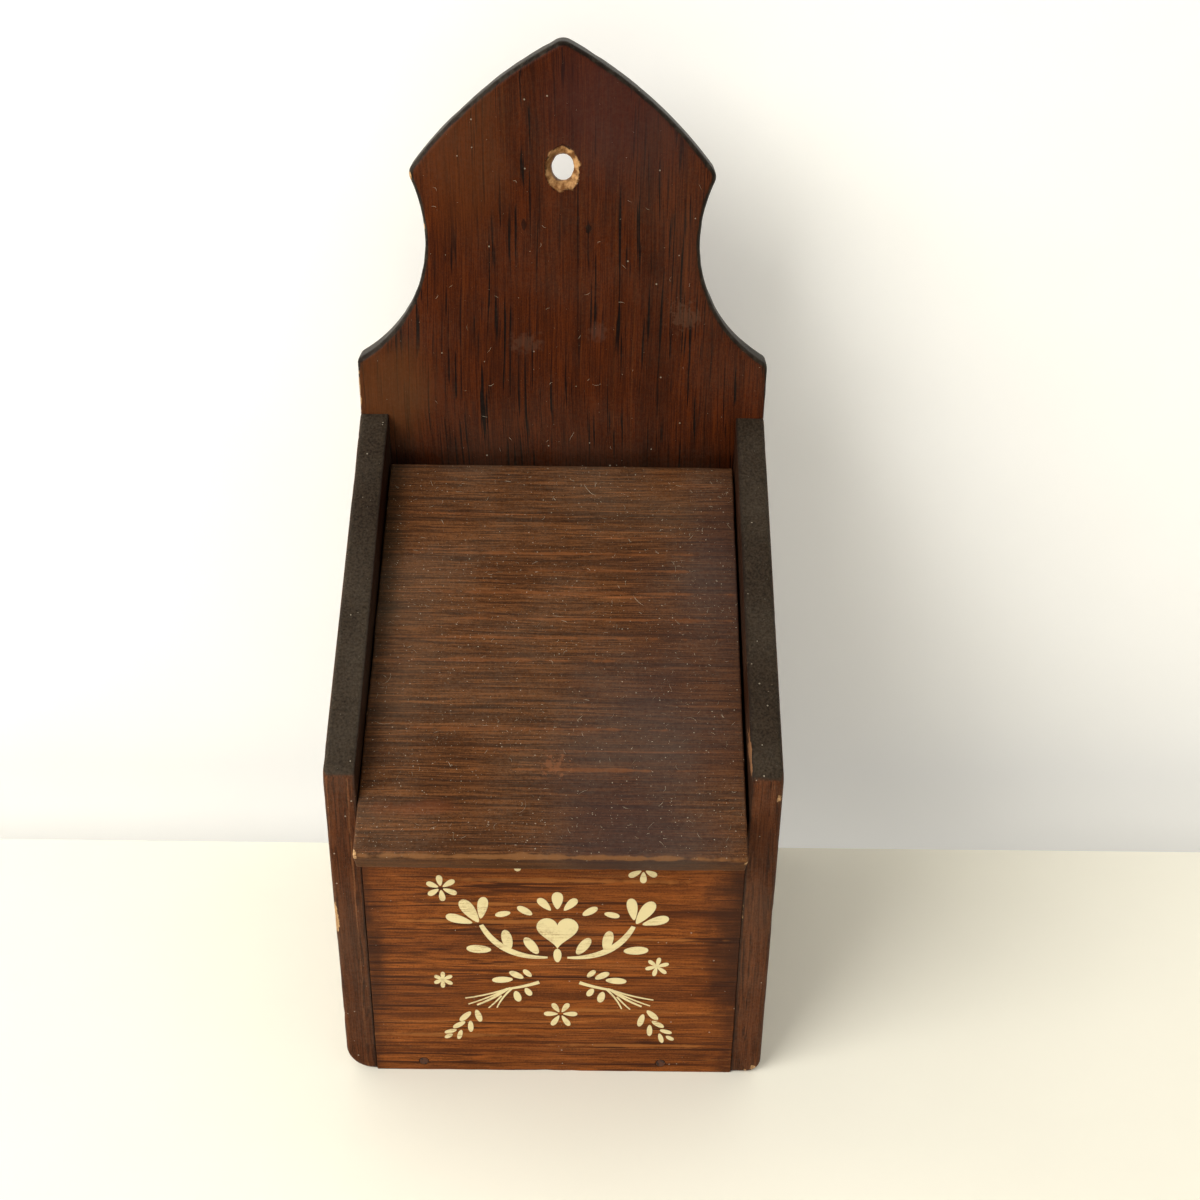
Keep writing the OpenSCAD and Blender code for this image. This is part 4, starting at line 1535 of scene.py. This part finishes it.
class SALTBOX_OT_stage(Operator):
    """Table, wall, window light, room light and camera"""

    bl_idname = "saltbox.stage"
    bl_label = "Stage"

    def execute(self, context):
        scene = context.scene
        stage, colours = scene.salt_box_stage, scene.salt_box_colours
        wall_y = BACK_HIGH.y + stage.wall_gap
        edge_y = BACK_HIGH.y + TABLE_EDGE
        low, far = BACK_LOW.z, STAGE_REACH
        sheets = (
            ("table", [(-far, -far, low), (far, -far, low), (far, edge_y, low),
                       (-far, edge_y, low), (-far, edge_y, -TABLE_DEPTH),
                       (far, edge_y, -TABLE_DEPTH)],
             [(0, 1, 2, 3), (3, 2, 5, 4)], stage_finish("table_top", colours.table, 0.05)),
            ("wall", [(-far, wall_y, -far), (far, wall_y, -far), (far, wall_y, far),
                      (-far, wall_y, far)],
             [(0, 1, 2, 3)], stage_finish("wall_paint", colours.wall, 0.12)),
        )
        for name, corners, faces, finish in sheets:
            mesh = bpy.data.meshes.new(name)
            mesh.from_pydata(corners, [], faces)
            mesh.materials.append(finish)
            sheet = linked(name, mesh)
        self.lamps(scene, stage)
        self.camera(scene, stage)
        scene.view_settings.view_transform = "Standard"
        return {"FINISHED"}

    def lamps(self, scene, stage):
        """A window on the left and an even room light."""
        lamp = bpy.data.lights.new("window", "AREA")
        lamp.shape = "RECTANGLE"
        lamp.size = 2 * stage.window_away * math.tan(stage.window_spread / 2)
        lamp.size_y = lamp.size * 0.85
        lamp.energy = stage.key_power
        lamp.color = (1.0, 0.985, 0.95)
        window = linked("window", lamp)
        centre = Vector((0, 0, BACK_HIGH.z / 2))
        flat = math.cos(stage.window_rise)
        way = Vector((-math.sin(stage.window_turn) * flat, -math.cos(stage.window_turn) * flat,
                      math.sin(stage.window_rise)))
        window.location = centre + way * stage.window_away
        aim = centre - window.location
        window.rotation_euler = aim.to_track_quat("-Z", "Y").to_euler()
        world = bpy.data.worlds.new("room")
        world.use_nodes = True
        back = world.node_tree.nodes["Background"]
        back.inputs["Color"].default_value = (1.0, 0.985, 0.96, 1.0)
        back.inputs["Strength"].default_value = stage.sky
        scene.world = world

    def camera(self, scene, stage):
        """Camera at the photograph's place, from its pitch, yaw and roll."""
        ahead = Vector((math.sin(stage.yaw) * math.cos(stage.pitch),
                        math.cos(stage.yaw) * math.cos(stage.pitch), -math.sin(stage.pitch)))
        level = Vector((math.cos(stage.yaw), -math.sin(stage.yaw), 0))
        down = ahead.cross(level)
        right = level * math.cos(stage.roll) + down * math.sin(stage.roll)
        up = level * math.sin(stage.roll) - down * math.cos(stage.roll)
        lens = bpy.data.cameras.new("photograph")
        lens.sensor_width = SENSOR
        lens.lens = SENSOR * stage.focal_px / stage.image_px
        lens.clip_start = 0.01
        eye = linked("photograph", lens)
        turned = Matrix((right, up, -ahead)).transposed().to_4x4()
        eye.matrix_world = Matrix.Translation(stage.camera) @ turned
        scene.camera = eye


STEPS = (SALTBOX_OT_back_board, SALTBOX_OT_side_boards, SALTBOX_OT_front_board,
         SALTBOX_OT_bottom_board, SALTBOX_OT_lid, SALTBOX_OT_nails, SALTBOX_OT_ornament,
         SALTBOX_OT_dust, SALTBOX_OT_stage)
SETTINGS = {"salt_box_crest": SaltBoxCrest, "salt_box_boards": SaltBoxBoards,
            "salt_box_nails": SaltBoxNails, "salt_box_paint": SaltBoxPaint,
            "salt_box_colours": SaltBoxColours, "salt_box_stage": SaltBoxStage}


class SALTBOX_PT_panel(Panel):
    """Lists the steps that build the salt box."""

    bl_idname = "SALTBOX_PT_panel"
    bl_label = "Salt box"
    bl_space_type = "VIEW_3D"
    bl_region_type = "UI"
    bl_category = "Salt box"

    def draw(self, context):
        for step in STEPS:
            self.layout.operator(step.bl_idname)
        for name in SETTINGS:
            settings = getattr(context.scene, name)
            box = self.layout.box()
            for key in settings.__annotations__:
                box.prop(settings, key)


def register():
    for name, settings in SETTINGS.items():
        bpy.utils.register_class(settings)
        setattr(bpy.types.Scene, name, PointerProperty(type=settings))
    for step in STEPS:
        bpy.utils.register_class(step)
    bpy.utils.register_class(SALTBOX_PT_panel)


def unregister():
    bpy.utils.unregister_class(SALTBOX_PT_panel)
    for step in reversed(STEPS):
        bpy.utils.unregister_class(step)
    for name, settings in SETTINGS.items():
        delattr(bpy.types.Scene, name)
        bpy.utils.unregister_class(settings)


def main():
    """Registers the add-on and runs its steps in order."""
    for name in ("Cube", "Light", "Camera"):
        if name in bpy.data.objects:
            bpy.data.objects.remove(bpy.data.objects[name])
    register()
    for step in STEPS:
        family, name = step.bl_idname.split(".")
        getattr(getattr(bpy.ops, family), name)()


if __name__ == "__main__":
    main()
